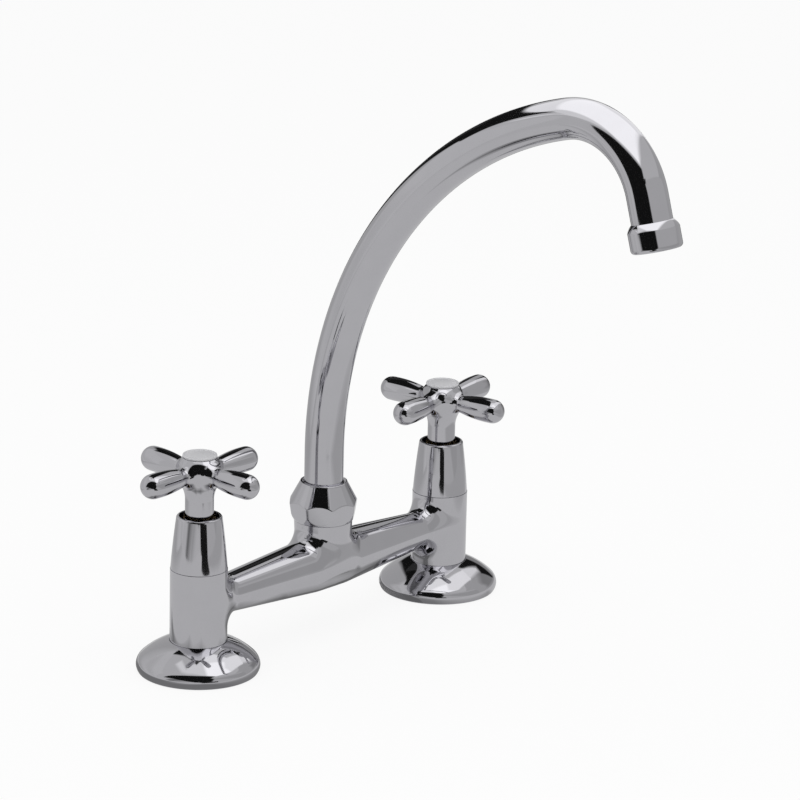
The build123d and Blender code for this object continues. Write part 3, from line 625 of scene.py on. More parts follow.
def flange_points(s, inset):
    """The dome's outline from the deck up to the hole, moved inwards by inset."""
    centre, small = s.radius - s.shoulder, s.shoulder - inset

    def on_shoulder(turn):
        return centre + small * math.cos(turn), s.rim_height + small * math.sin(turn)

    base = (s.base_radius - inset, 0)
    rim = (s.radius - inset, s.rim_height)
    via, shoulder = on_shoulder(s.shoulder_angle / 2), on_shoulder(s.shoulder_angle)
    hole = (s.hole, top_of("flange_left") - inset)
    return [base, bulged(base, rim, s.rim_bulge), rim, via, shoulder,
            bulged(shoulder, hole, s.crown), hole]


def flange_mesh(s, side):
    base, low, rim, via, shoulder, crown, hole = flange_points(s, 0)
    inner = flange_points(s, s.wall)[::-1]
    points = outline(base, (low, rim), (via, shoulder), (crown, hole), inner[0],
                     *((inner[i], inner[i + 1]) for i in (1, 3, 5)))
    return turned(f"deck_flange_{side}", points, upright(side))


class FAUCET_OT_flanges(bpy.types.Operator):
    """Builds both domed deck flanges"""

    bl_idname = "faucet.flanges"
    bl_label = "Deck flanges"

    def execute(self, context):
        for side in SIDES:
            mesh = flange_mesh(context.scene.faucet_flange, side)
            add_piece(f"deck_flange_{side}", mesh, "root", "chrome", f"flange_{side}")
        return {"FINISHED"}


# ---------------------------------------------------------------- bonnets
class BonnetSizes(bpy.types.PropertyGroup):
    """Sizes of the tapered covers over the headworks."""

    base_radius: length("Base radius", radius_of("bonnet_left") / MM, "Radius just over the seam")
    top_radius: length("Top radius", 11.5, "Radius just under the rim")
    mouth_radius: length("Mouth radius", 9.9, "Radius of the opening round the handle's neck")
    bulge: length("Bulge", 0.2, "How far the side stands out from a straight cone")
    rim: length("Rim radius", 1.1, "Radius of the rounded top edge")
    edge: length("Edge", 0.08, "Easing of the other edges")
    seam: length("Seam", 0.22, "Chamfer that shows as a fine line over the pillar")
    wall: length("Wall", 1.3, "Thickness of the cover")
    thread_radius: length("Thread radius", 9.6, "Radius of the threaded collar inside")
    collar_top: length("Collar top", 66.0, "Height of the inner collar's top")
    collar_bottom: length("Collar bottom", 60.6, "Height of the inner collar's underside")


def bonnet_mesh(s, side):
    top = top_of("bonnet_left")
    base = (s.base_radius, PILLAR_TOP + s.seam)
    shoulder, over_rim = round_edge(s.top_radius, top, s.rim)
    shrink = (s.base_radius - s.top_radius) / (top - PILLAR_TOP)

    def inside(height):
        return s.base_radius - s.wall - shrink * (height - PILLAR_TOP), height

    points = outline((s.base_radius - s.seam, PILLAR_TOP), base,
                     (bulged(base, shoulder, s.bulge), shoulder), over_rim,
                     (s.mouth_radius, top), inside(s.collar_top),
                     (s.thread_radius, s.collar_top), (s.thread_radius, s.collar_bottom),
                     inside(s.collar_bottom), inside(PILLAR_TOP), edge=s.edge)
    return turned(f"bonnet_cover_{side}", points, upright(side))


class FAUCET_OT_bonnets(bpy.types.Operator):
    """Builds both tapered bonnets"""

    bl_idname = "faucet.bonnets"
    bl_label = "Bonnets"

    def execute(self, context):
        for side in SIDES:
            mesh = bonnet_mesh(context.scene.faucet_bonnet, side)
            add_piece(f"bonnet_cover_{side}", mesh, "root", "chrome", f"bonnet_{side}")
        return {"FINISHED"}


# ---------------------------------------------------------------- cross handles
class HandleSizes(bpy.types.PropertyGroup):
    """Sizes of the cross handles and their caps."""

    turn_left: angle("Left turn", 0.0, "How far the left cross is turned")
    turn_right: angle("Right turn", 5.4, "How far the right cross is turned")
    neck_radius: length("Neck radius", 7.2, "Radius of the neck that dips into the bonnet")
    neck_top: length("Neck top", 90.0, "Height at which the neck starts to flare")
    flare_radius: length("Flare radius", 9.1, "Radius where the flare meets the hub")
    flare_height: length("Flare height", 96.5, "Height of the flare's end")
    flare_hollow: length("Flare hollow", 0.4, "How far the flare dips in from a cone")
    hub_radius: length("Hub radius", 11.3, "Largest radius of the hub")
    hub_height: length("Hub height", 103.6, "Height of the hub's belly")
    hub_bulge: length("Hub bulge", 0.3, "How far the hub stands out under its belly")
    hub_edge: length("Hub edge", 0.8, "Easing of the hub's edges")
    hub_top_radius: length("Hub top radius", 8.5, "Radius of the hub under the cap")
    hub_crown: length("Hub crown", 0.95, "How far the hub's shoulder stands out from a cone")
    cap_radius: length("Cap radius", 8.6, "Radius of the cap's rim")
    cap_rise: length("Cap rise", 1.9, "Height of the cap over the hub")
    cap_dome: length("Cap dome", 0.3, "Height of the cap's middle over its rim")
    cap_bulge: length("Cap bulge", 0.1, "How far the cap's face stands out from a cone")
    cap_edge: length("Cap edge", 0.45, "Rounding of the cap's rim")
    cap_ease: length("Cap ease", 0.1, "Easing of the cap's finer edges")
    lobe_height: length("Lobe height", 103.1, "Height of the lobes' axes")
    lobe_reach: length("Lobe reach", 32.4, "Distance of each lobe's ball from the spindle")
    lobe_end: length("Lobe end radius", 6.25, "Radius of each lobe's ball")
    lobe_root: length("Lobe root", 12.5, "Where a lobe is thinnest")
    lobe_root_radius: length("Lobe root radius", 4.4, "Radius of a lobe where it is thinnest")
    lobe_bulge: length("Lobe bulge", 0.65, "How far a lobe's side stands out from a cone")
    lobe_edge: length("Lobe edge", 1.0, "Easing of the edge where a lobe is thinnest")
    lobe_fillet: length("Lobe fillet", 3.0, "Fillet between the lobes and the hub")
    voxel: length("Mesh size", 0.5, "Size of the mesh's squares")


def table_of(points):
    """Two rows, heights and radii, for interpolation along an outline of close points."""
    return np.array([p[1] for p in points]), np.array([p[0] for p in points])


def hub_outline(s):
    """The hub's outline, which goes on past both cuts."""
    over, crown_slope = 4 * MM, 0.9
    neck = (s.neck_radius, s.neck_top)
    flare = (s.flare_radius, s.flare_height)
    belly = (s.hub_radius, s.hub_height)
    crown = (s.hub_top_radius, HUB_TOP)
    return outline((s.neck_radius, HUB_BOTTOM - over), neck,
                   (bulged(neck, flare, -s.flare_hollow), flare),
                   (bulged(flare, belly, s.hub_bulge), belly),
                   (bulged(belly, crown, s.hub_crown), crown),
                   (s.hub_top_radius - crown_slope * over, HUB_TOP + over),
                   closed=False, edge=s.hub_edge)


def lobe_outline(s):
    """A lobe's outline, as (radius, distance from the spindle), out to its ball's middle."""
    root = (s.lobe_root_radius, s.lobe_root)
    end = (s.lobe_end, s.lobe_reach)
    return outline((s.lobe_root_radius, 0), root, (bulged(root, end, s.lobe_bulge), end),
                   closed=False, edge=s.lobe_edge)


def handle_field(s, side, turn):
    hub_heights, hub_radii = table_of(hub_outline(s))
    lobe_runs, lobe_radii = table_of(lobe_outline(s))
    centre = PILLARS[side]
    cosine, sine = math.cos(turn), math.sin(turn)

    def field(p):
        x, y, z = p[:, 0] - centre.x, p[:, 1] - centre.y, p[:, 2]
        a, b = np.abs(cosine * x + sine * y), np.abs(cosine * y - sine * x)
        run, across = np.maximum(a, b), np.minimum(a, b)
        off_axis = np.hypot(across, z - s.lobe_height)
        bar = off_axis - np.interp(run, lobe_runs, lobe_radii)
        ball = np.hypot(run - s.lobe_reach, off_axis) - s.lobe_end
        lobes = np.where(run > s.lobe_reach, ball, bar)
        hub = np.hypot(x, y) - np.interp(z, hub_heights, hub_radii)
        return round_union(lobes, hub, s.lobe_fillet)

    return field


def handle_mesh(s, side, turn):
    over, ball_share = 2 * MM, 0.8
    rough = [rough_rod(s.neck_radius, HUB_BOTTOM - over, HUB_TOP, upright(side)),
             rough_rod(s.hub_top_radius, s.flare_height, HUB_TOP + over, upright(side))]
    reach = s.lobe_reach + s.lobe_end * ball_share
    middle_of_lobes = upright(side) @ Matrix.Translation((0, 0, s.lobe_height))
    for spread in (0, math.pi / 2):
        along = Matrix.Rotation(turn + spread, 4, "Z") @ Matrix.Rotation(math.pi / 2, 4, "Y")
        rough.append(rough_rod(s.lobe_root_radius, -reach, reach, middle_of_lobes @ along))
    field = handle_field(s, side, turn)
    mesh = casting(f"cross_handle_{side}", rough, field, s.voxel, rounds=8)
    return sliced(mesh, [(HUB_TOP, True, lambda c: True), (HUB_BOTTOM, False, lambda c: True)])


# The cap's finer steps in millimetres, as (inwards from its rim, up): its foot and the groove over
# the hub, then the step inside its raised rim, from the crest.
CAP_FOOT = ((0.6, -0.3), (0.6, 0.25), (0, 0.6))
CAP_STEP = ((1.0, 0), (1.3, -0.35), (1.55, -0.2))


def cap_mesh(s, side):
    """The round cap: a shallow dome inside a fine raised rim, over a groove."""
    top = (0, HUB_TOP + s.cap_rise)
    crest = top[1] - s.cap_dome

    def steps(table, level):
        return [(s.cap_radius - inwards * MM, level + up * MM) for inwards, up in table]

    foot, step = steps(CAP_FOOT, HUB_TOP), steps(CAP_STEP, crest)
    shoulder, over_rim = round_edge(s.cap_radius, crest, s.cap_edge, FLAT_SLANT)
    points = outline((0, foot[0][1]), *foot, shoulder, over_rim, *step,
                     (bulged(step[-1], top, s.cap_bulge), top), closed=False, edge=s.cap_ease)
    return turned(f"handle_cap_{side}", points, upright(side), closed=False)


class FAUCET_OT_handles(bpy.types.Operator):
    """Builds both cross handles with their caps"""

    bl_idname = "faucet.handles"
    bl_label = "Cross handles"

    def execute(self, context):
        sizes = context.scene.faucet_handle
        for side, turn in zip(SIDES, (sizes.turn_left, sizes.turn_right)):
            body = f"{side}_handle"
            cross, cap = handle_mesh(sizes, side, turn), cap_mesh(sizes, side)
            add_piece(f"cross_handle_{side}", cross, body, "chrome", f"handle_{side}")
            add_piece(f"handle_cap_{side}", cap, body, "cap_plastic", f"index_cap_{side}")
        return {"FINISHED"}


# ---------------------------------------------------------------- union nut
class NutSizes(bpy.types.PropertyGroup):
    """Sizes of the faceted nut that holds the spout."""

    bottom_radius: length("Bottom radius", 15.2, "Radius of the skirt at the boss")
    ridge_radius: length("Ridge radius", 18.0, "Radius of the nut where it is widest")
    ridge_height: length("Ridge height", 67.5, "Height at which the nut is widest")
    skirt_bulge: length("Skirt bulge", 0.6, "How far the skirt stands out from a cone")
    facets: number("Facets", 8, 4, 12, "Number of flats round the skirt")
    facet_turn: angle("Facet turn", 36.5, "Direction of the first flat")
    foot_corner: length("Foot corner", 16.6, "Corner radius of the flats at the skirt's foot")
    corner_softness: length("Corner softness", 0.35, "Rounding of the corners between the flats")
    rim_radius: length("Rim radius", 12.15, "Radius of the round rim at the top")
    rim_edge: length("Rim edge", 0.5, "Rounding of the rim")
    mouth_radius: length("Mouth radius", 10.15, "Radius of the hole round the spout")
    mouth_chamfer: length("Mouth chamfer", 0.8, "Bevel at the hole's upper edge")
    foot_chamfer: length("Foot chamfer", 0.3, "Bevel at the skirt's foot")
    inner_edge: length("Inner edge", 0.12, "Easing of the hole's edges and the flats' ends")
    recess: length("Recess", 2.8, "Depth of the room round the spout's foot, from the hole's side")


# How far back the corners between the flats stand, as a share of their softness.
CORNER_LOSS = 0.4


def soft_least(a, b, soft):
    """The smaller of two, with the corner between them rounded."""
    return np.minimum(a, b) - np.maximum(soft - np.abs(a - b), 0) ** 2 / (4 * soft)


def nut_radius(s, height, turn, outside):
    """The outer radius at a height: leaning flats that cut a skirt and a smooth cone."""
    lean = (s.ridge_radius - s.foot_corner) / (s.ridge_height - BOSS_TOP)
    corner = s.foot_corner + lean * (height - BOSS_TOP)
    pitch = 2 * math.pi / s.facets
    off_middle = (turn - s.facet_turn + pitch / 2) % pitch - pitch / 2
    flats = corner * math.cos(pitch / 2) / np.cos(off_middle)
    flats = soft_least(flats, corner - CORNER_LOSS * s.corner_softness, s.corner_softness)
    return soft_least(flats, np.interp(height, *outside), s.inner_edge)


def nut_mesh(s):
    top = top_of("union_nut")
    base = (s.bottom_radius, BOSS_TOP + s.foot_chamfer)
    ridge = (s.ridge_radius, s.ridge_height)
    rim, over_rim = round_edge(s.rim_radius, top, s.rim_edge, FLAT_SLANT)
    outside = outline((s.bottom_radius - s.foot_chamfer, BOSS_TOP), base,
                      (bulged(base, ridge, s.skirt_bulge), ridge), rim, closed=False)
    inside = outline(rim, over_rim, (s.mouth_radius + s.mouth_chamfer, top),
                     (s.mouth_radius, top - s.mouth_chamfer), (s.mouth_radius, TUBE_FOOT),
                     (s.mouth_radius + s.recess, TUBE_FOOT), (s.mouth_radius + s.recess, BOSS_TOP),
                     closed=False, edge=s.inner_edge)
    turn = full_circle(NUT_STEPS)
    table = table_of(outside)
    rings = [(nut_radius(s, height, turn, table), height) for _, height in outside]
    return mesh_from_rings("union_nut_skin", rings + inside, turn, closed=True)


class FAUCET_OT_nut(bpy.types.Operator):
    """Builds the union nut with its tapered flats"""

    bl_idname = "faucet.nut"
    bl_label = "Union nut"

    def execute(self, context):
        add_piece("spout_nut", nut_mesh(context.scene.faucet_nut), "root", "chrome", "union_nut")
        return {"FINISHED"}


# ---------------------------------------------------------------- spout
class SpoutSizes(bpy.types.PropertyGroup):
    """Sizes of the swan neck and the collar at its end."""

    radius: length("Tube radius", radius_of("spout_tube") / MM, "Radius of the swan-neck tube")
    rise: length("Rise", 94.4, "Height at which the tube starts to lean")
    sweep_radius: length("Sweep radius", 206.3, "Radius of the long bend")
    sweep_angle: angle("Sweep angle", 74.8, "Turn of the long bend")
    hook_radius: length("Hook radius", 41.1, "Radius of the tight bend")
    hook_angle: angle("Hook angle", 88.9, "Turn of the tight bend")
    tail: length("Tail", 12.4, "Straight stretch before the collar")
    socket: length("Socket", 5.0, "How far the tube reaches into the collar")
    sides: number("Sides", 128, 16, 512, "Points round the tube")
    nozzle_radius: length("Collar radius", 12.5, "Radius of the collar at the outlet")
    nozzle_start: length("Collar gap", 0.02, "How far the collar's start stands off the tube")
    nozzle_shoulder: length("Collar shoulder", 3.7, "Length of the collar's cone")
    nozzle_bulge: length("Collar bulge", 0.25, "How far the collar's cone stands out")
    nozzle_length: length("Collar length", 13.8, "Length of the collar")
    nozzle_edge: length("Collar edge", 1.9, "Rounding at the collar's mouth")
    aerator_radius: length("Aerator radius", 10.3, "Radius of the collar's mouth")
    aerator_recess: length("Aerator recess", 6.0, "Where the collar's threaded mouth ends")
    aerator_lip: length("Aerator lip", 9.0, "Radius of the lip that the aerator rests on")
    screen_margin: length("Screen margin", 1.6, "Room between the screen and the collar's mouth")
    screen_depth: length("Screen depth", 0.4, "How deep the screen lies in the mouth")
    screen_pitch: length("Screen pitch", 1.45, "Distance from cell to cell of the screen")
    screen_wire: length("Screen wire", 0.12, "Radius of the screen's ribs")


FOOT_STEPS, SWEEP_STEPS, HOOK_STEPS, TAIL_STEPS = 24, 240, 90, 12
SCREEN_CELLS, WIRE_SIDES, CELL_ROOM = 13, 4, 0.6


def in_plane(turn, radius=1):
    """The point of a circle in the spout's plane at a turn from +Y up to +Z."""
    return radius * Vector((0, math.cos(turn), math.sin(turn)))


def bend(centre, radius, start, turn, steps):
    return [centre + in_plane(start + turn * i / steps, radius) for i in range(steps)]


def spout_points(s, tail):
    """Close points along the tube's axis, and the direction at its end."""
    rise = s.rise - TUBE_FOOT
    points = [Vector((0, 0, TUBE_FOOT + rise * i / FOOT_STEPS)) for i in range(FOOT_STEPS)]
    centre = Vector((0, -s.sweep_radius, s.rise))
    points += bend(centre, s.sweep_radius, 0, s.sweep_angle, SWEEP_STEPS)
    hook_centre = centre + in_plane(s.sweep_angle, s.sweep_radius - s.hook_radius)
    points += bend(hook_centre, s.hook_radius, s.sweep_angle, s.hook_angle, HOOK_STEPS)
    turn = s.sweep_angle + s.hook_angle
    last = hook_centre + in_plane(turn, s.hook_radius)
    onward = in_plane(turn + math.pi / 2)
    return points + [last + onward * tail * i / TAIL_STEPS for i in range(TAIL_STEPS + 1)], onward


def new_geometry(name, **inputs):
    """A geometry tree with named inputs of a kind; gives its filler and the inputs by name."""
    tree = bpy.data.node_groups.new(name, "GeometryNodeTree")
    tree.interface.new_socket("Geometry", in_out="OUTPUT", socket_type="NodeSocketGeometry")
    for label, kind in {"Geometry": "Geometry", **inputs, "Finish": "Material"}.items():
        tree.interface.new_socket(label, in_out="INPUT", socket_type="NodeSocket" + kind)
    nodes = Nodes(tree)
    entry = tree.nodes.new("NodeGroupInput")
    return nodes, {socket.name: Value(nodes, socket) for socket in entry.outputs if socket.name}


def end_geometry(nodes, values, geometry):
    """Realize Instances, Set Material and the group's output, which every tree here ends in."""
    real = nodes.add("GeometryNodeRealizeInstances", sockets={"Geometry": geometry})
    dressed = nodes.add("GeometryNodeSetMaterial", sockets={
        "Geometry": real, "Material": values["Finish"]})
    nodes.add("NodeGroupOutput", sockets={"Geometry": dressed})
    return nodes.tree


def ring_of(nodes, steps, radius):
    return nodes.add("GeometryNodeCurvePrimitiveCircle", sockets={
        "Resolution": steps, "Radius": radius})


def swept(nodes, path, ring, capped=True):
    return nodes.add("GeometryNodeCurveToMesh", sockets={
        "Curve": path, "Profile Curve": ring, "Fill Caps": capped})


def tube_tree():
    """A round tube that follows the edges of the mesh it is given."""
    nodes, values = new_geometry("Swept tube", Radius="Float", Sides="Int")
    path = nodes.add("GeometryNodeMeshToCurve", sockets={"Mesh": values["Geometry"]})
    tube = swept(nodes, path, ring_of(nodes, values["Sides"], values["Radius"]))
    return end_geometry(nodes, values, tube)


def grown(name, base_mesh, tree, settings):
    """The plain mesh that a geometry tree makes of a base mesh."""
    base = linked(name + "_base", base_mesh)
    modifier = base.modifiers.new("growth", "NODES")
    modifier.node_group = tree
    for item in tree.interface.items_tree:
        if item.in_out == "INPUT" and item.name in settings:
            modifier[item.identifier] = settings[item.name]
    mesh = plain_mesh(base, name)
    base.modifiers.remove(modifier)
    bpy.data.objects.remove(base)
    return mesh


def tube_mesh(s):
    points, _ = spout_points(s, s.tail + s.socket)
    path = bpy.data.meshes.new("spout_path")
    path.from_pydata(points, [(i, i + 1) for i in range(len(points) - 1)], [])
    mesh = grown("swan_neck", path, tube_tree(), {
        "Radius": s.radius, "Sides": s.sides, "Finish": FINISHES["chrome"]})
    return smoothed(mesh, CREASE_ANGLE)


def outlet_place(s):
    """The collar's frame: its origin on the tube's axis, +Z along the falling water."""
    points, onward = spout_points(s, s.tail)
    across = Vector((1, 0, 0))
    return framed(points[-1], across, onward.cross(across), onward)


def nozzle_mesh(s):
    inner = s.radius + s.nozzle_start
    wide = (s.nozzle_radius, s.nozzle_shoulder)
    shoulder, over_edge = round_edge(s.nozzle_radius, s.nozzle_length, s.nozzle_edge)
    points = outline((inner, 0), (bulged((inner, 0), wide, s.nozzle_bulge), wide),
                     shoulder, over_edge, (s.aerator_radius, s.nozzle_length),
                     (s.aerator_radius, s.aerator_recess), (s.aerator_lip, s.aerator_recess),
                     (s.aerator_lip, s.socket), (inner, s.socket))
    return turned("outlet_collar", points, outlet_place(s))


def screen_tree():
    """A honeycomb of small hexagon cells inside a circle, for the outlet's screen."""
    nodes, values = new_geometry("Honeycomb screen", Radius="Float", Pitch="Float", Wire="Float")
    grid = nodes.add("GeometryNodeMeshGrid", sockets={
        "Size X": values["Radius"] * 2, "Size Y": values["Radius"] * 2,
        "Vertices X": SCREEN_CELLS, "Vertices Y": SCREEN_CELLS})
    points = nodes.add("GeometryNodeMeshToPoints", sockets={"Mesh": grid})
    place = nodes.add("GeometryNodeInputPosition")
    away = nodes.add("ShaderNodeVectorMath", {"operation": "LENGTH"}, place, out="Value")
    outside = nodes.add("FunctionNodeCompare", {"data_type": "FLOAT", "operation": "GREATER_THAN"},
                        sockets={"A": away,
                                 "B": values["Radius"] - values["Pitch"] * CELL_ROOM})
    kept = nodes.add("GeometryNodeDeleteGeometry", {"domain": "POINT"}, sockets={
        "Geometry": points, "Selection": outside})
    cell = ring_of(nodes, 6, values["Pitch"] * 0.5)
    ring = swept(nodes, cell, ring_of(nodes, WIRE_SIDES, values["Wire"]), capped=False)
    rings = nodes.add("GeometryNodeInstanceOnPoints", sockets={"Points": kept, "Instance": ring})
    return end_geometry(nodes, values, rings)


def screen_mesh(s):
    mesh = grown("outlet_screen", bpy.data.meshes.new("screen_base"), screen_tree(), {
        "Radius": s.aerator_radius - s.screen_margin, "Pitch": s.screen_pitch,
        "Wire": s.screen_wire, "Finish": FINISHES["steel"]})
    depth = s.nozzle_length - s.screen_depth
    mesh.transform(outlet_place(s) @ Matrix.Translation((0, 0, depth)))
    return mesh


class FAUCET_OT_spout(bpy.types.Operator):
    """Builds the swan neck, its collar and the outlet's screen"""

    bl_idname = "faucet.spout"
    bl_label = "Spout"

    def execute(self, context):
        sizes = context.scene.faucet_spout
        add_piece("swan_neck", tube_mesh(sizes), "spout", "chrome", "spout_tube")
        add_piece("outlet_collar", nozzle_mesh(sizes), "spout", "chrome", "spout_nozzle")
        add_piece("outlet_screen", screen_mesh(sizes), "spout", "steel")
        return {"FINISHED"}


# ---------------------------------------------------------------- threaded shanks
class ShankSizes(bpy.types.PropertyGroup):
    """Sizes of the threads on the inlet shanks."""

    radius: length("Thread radius", radius_of("shank_left") / MM, "Outer radius of the thread")
    depth: length("Thread depth", 1.0, "Depth of the thread")
    pitch: length("Pitch", 1.814, "Distance from turn to turn")
    bore: length("Bore", 6.5, "Radius of the waterway")
    chamfer: length("Chamfer", 1.0, "Chamfer at both ends")


THREAD_STEPS, THREAD_SIDES = 48, 6


def thread_tree():
    """A ridge wound round a bar, joined to the bar it is given."""
    nodes, values = new_geometry("Wound thread", Radius="Float", Depth="Float", Pitch="Float",
                                 Run="Float", Start="Float")
    core = values["Radius"] - values["Depth"] * 0.5
    coil = nodes.add("GeometryNodeCurveSpiral", sockets={
        "Resolution": THREAD_STEPS, "Rotations": values["Run"] / values["Pitch"],
        "Start Radius": core, "End Radius": core, "Height": values["Run"]})
    wound = swept(nodes, coil, ring_of(nodes, THREAD_SIDES, values["Depth"] * 0.5))
    lift = nodes.add("ShaderNodeCombineXYZ", sockets={"Z": values["Start"]})
    lifted = nodes.add("GeometryNodeTransform", sockets={"Geometry": wound, "Translation": lift})
    joined = nodes.tree.nodes.new("GeometryNodeJoinGeometry")
    for part in (lifted, values["Geometry"]):
        nodes.tree.links.new(part.socket, joined.inputs[0])
    return end_geometry(nodes, values, Value(nodes, joined.outputs[0]))


def shank_mesh(s, side, tree):
    bottom, top = bottom_of("shank_left"), top_of("shank_left")
    core = s.radius - s.depth
    points = outline((s.bore, bottom), (core - s.chamfer / 2, bottom), (core, bottom + s.chamfer),
                     (core, top - s.chamfer), (core - s.chamfer / 2, top), (s.bore, top))
    margin = 1.5 * s.chamfer
    mesh = grown(f"threaded_shank_{side}", turned("shank_bar", points), tree, {
        "Radius": s.radius, "Depth": s.depth, "Pitch": s.pitch, "Run": top - bottom - 2 * margin,
        "Start": bottom + margin, "Finish": FINISHES["brass"]})
    mesh.transform(upright(side))
    return smoothed(mesh, CREASE_ANGLE)


class FAUCET_OT_shanks(bpy.types.Operator):
    """Builds both threaded shanks under the deck"""

    bl_idname = "faucet.shanks"
    bl_label = "Threaded shanks"

    def execute(self, context):
        tree = thread_tree()
        for side in SIDES:
            mesh = shank_mesh(context.scene.faucet_shank, side, tree)
            add_piece(f"threaded_shank_{side}", mesh, "root", "brass", f"shank_{side}")
        return {"FINISHED"}


# ---------------------------------------------------------------- finishes of the solids that stay
class FinishColours(bpy.types.PropertyGroup):
    """Colours of the finishes."""

    plate: colour("Chrome", (0.6, 0.595, 0.625), "Reflected colour of the plating")
    gloss_loss: share("Chrome roughness", 0.06, "Roughness of the plating")
    ripple_width: length("Ripple width", 14, "Width of the polished casting's slow ripple")
    ripple_depth: length("Ripple depth", 0.003, "Depth of the ripple")
    brass: colour("Brass", (0.72, 0.55, 0.28), "Bare machined brass")
    steel: colour("Steel", (0.62, 0.62, 0.62), "Stainless steel")
    ceramic: colour("Ceramic", (0.9, 0.89, 0.85), "Lapped ceramic discs")
    rubber: colour("Rubber", (0.02, 0.02, 0.02), "Black seals")
    fibre: colour("Fibre", (0.45, 0.12, 0.07), "Fibre joint washers")
    white_plastic: colour("White plastic", (0.85, 0.85, 0.83), "Swivel washer")
    grey_plastic: colour("Grey plastic", (0.32, 0.33, 0.35), "Aerator insert")
    cap: colour("Cap", (0.64, 0.64, 0.66), "Face of the handle caps")


class FAUCET_OT_finishes(bpy.types.Operator):
    """Makes every finish and gives each solid its own"""

    bl_idname = "faucet.finishes"
    bl_label = "Finishes"

    def execute(self, context):
        make_finishes(context.scene.faucet_colours)
        for entry in frame["record"]["subparts"]:
            mesh = frame["nodes"][entry["node"]].data
            mesh.materials.clear()
            mesh.materials.append(FINISHES[entry["material_slot"]])
        return {"FINISHED"}


# ---------------------------------------------------------------- studio
class StudioSizes(bpy.types.PropertyGroup):
    """Camera, floor and light."""

    azimuth: angle("Azimuth", -48.25, "Direction that the camera looks from")
    elevation: angle("Elevation", 16.73, "Height angle of the camera")
    distance: length("Distance", 2183, "Distance of the camera from the deck's middle")
    roll: angle("Roll", 1.30, "Turn of the camera about its own axis")
    shift_right: length("Shift right", 40.54, "How far the camera stands to the right")
    shift_up: length("Shift up", 116.46, "How far the camera stands up")
    lens: length("Lens", 190.8, "Focal length")
    sensor: length("Sensor", 36, "Width of the picture behind the lens")
    floor: colour("Floor", (0.9, 0.9, 0.9), "Pale floor")
    floor_size: length("Floor size", 24000, "Side of the floor")
    whiteness: share("Whiteness", 0.88, "Share of plain light in what is seen of the floor")
    mirrored_light: share("Mirrored light", 0.6, "Brightness of the floor where metal shows it")
    fill: share("Fill", 0.72, "Strength of the light from all round")
    lamp_power: FloatProperty(name="Lamp power", description="Watts of the lamp", default=9)
    lamp_size: length("Lamp size", 1600, "Width of the overhead lamp")
    lamp_tilt: angle("Lamp tilt", -14, "Lean of the overhead lamp")


# The tent of grey cloth that the faucet stands in, as (plane, offset, outline, brightness). A
# plane is named by the axis that it faces along, and its outline's numbers are the other two's.
TENT_LEFT, TENT_RIGHT, TENT_FRONT, TENT_BACK, TENT_TOP = -0.49, 0.42, -0.43, 0.27, 0.396
# Each card lies this much nearer than the one before it, so that the later one shows.
CARD_GAP = 1.0 * MM
FLOOR_CARD_GAP = 0.1 * MM
LAMP_PLACE = (-0.3, -0.4, 1.8)
VIEW_END = 50
WHITE = (1, 1, 1, 1)


def oblong(u0, u1, v0, v1):
    return ((u0, v0), (u1, v0), (u1, v1), (u0, v1))


TENT = {
    "tent_back": ("Y", TENT_BACK, oblong(TENT_LEFT, TENT_RIGHT, 0, TENT_TOP), 0.65),
    "tent_front": ("Y", TENT_FRONT, oblong(TENT_LEFT, TENT_RIGHT, 0, TENT_TOP), 0.53),
    "tent_left": ("X", TENT_LEFT, oblong(TENT_FRONT, TENT_BACK, 0, TENT_TOP), 0.60),
    "tent_right": ("X", TENT_RIGHT, oblong(TENT_FRONT, TENT_BACK, 0, TENT_TOP), 0.47),
    "tent_top": ("Z", TENT_TOP, oblong(TENT_LEFT, TENT_RIGHT, TENT_FRONT, TENT_BACK), 0.61),
}
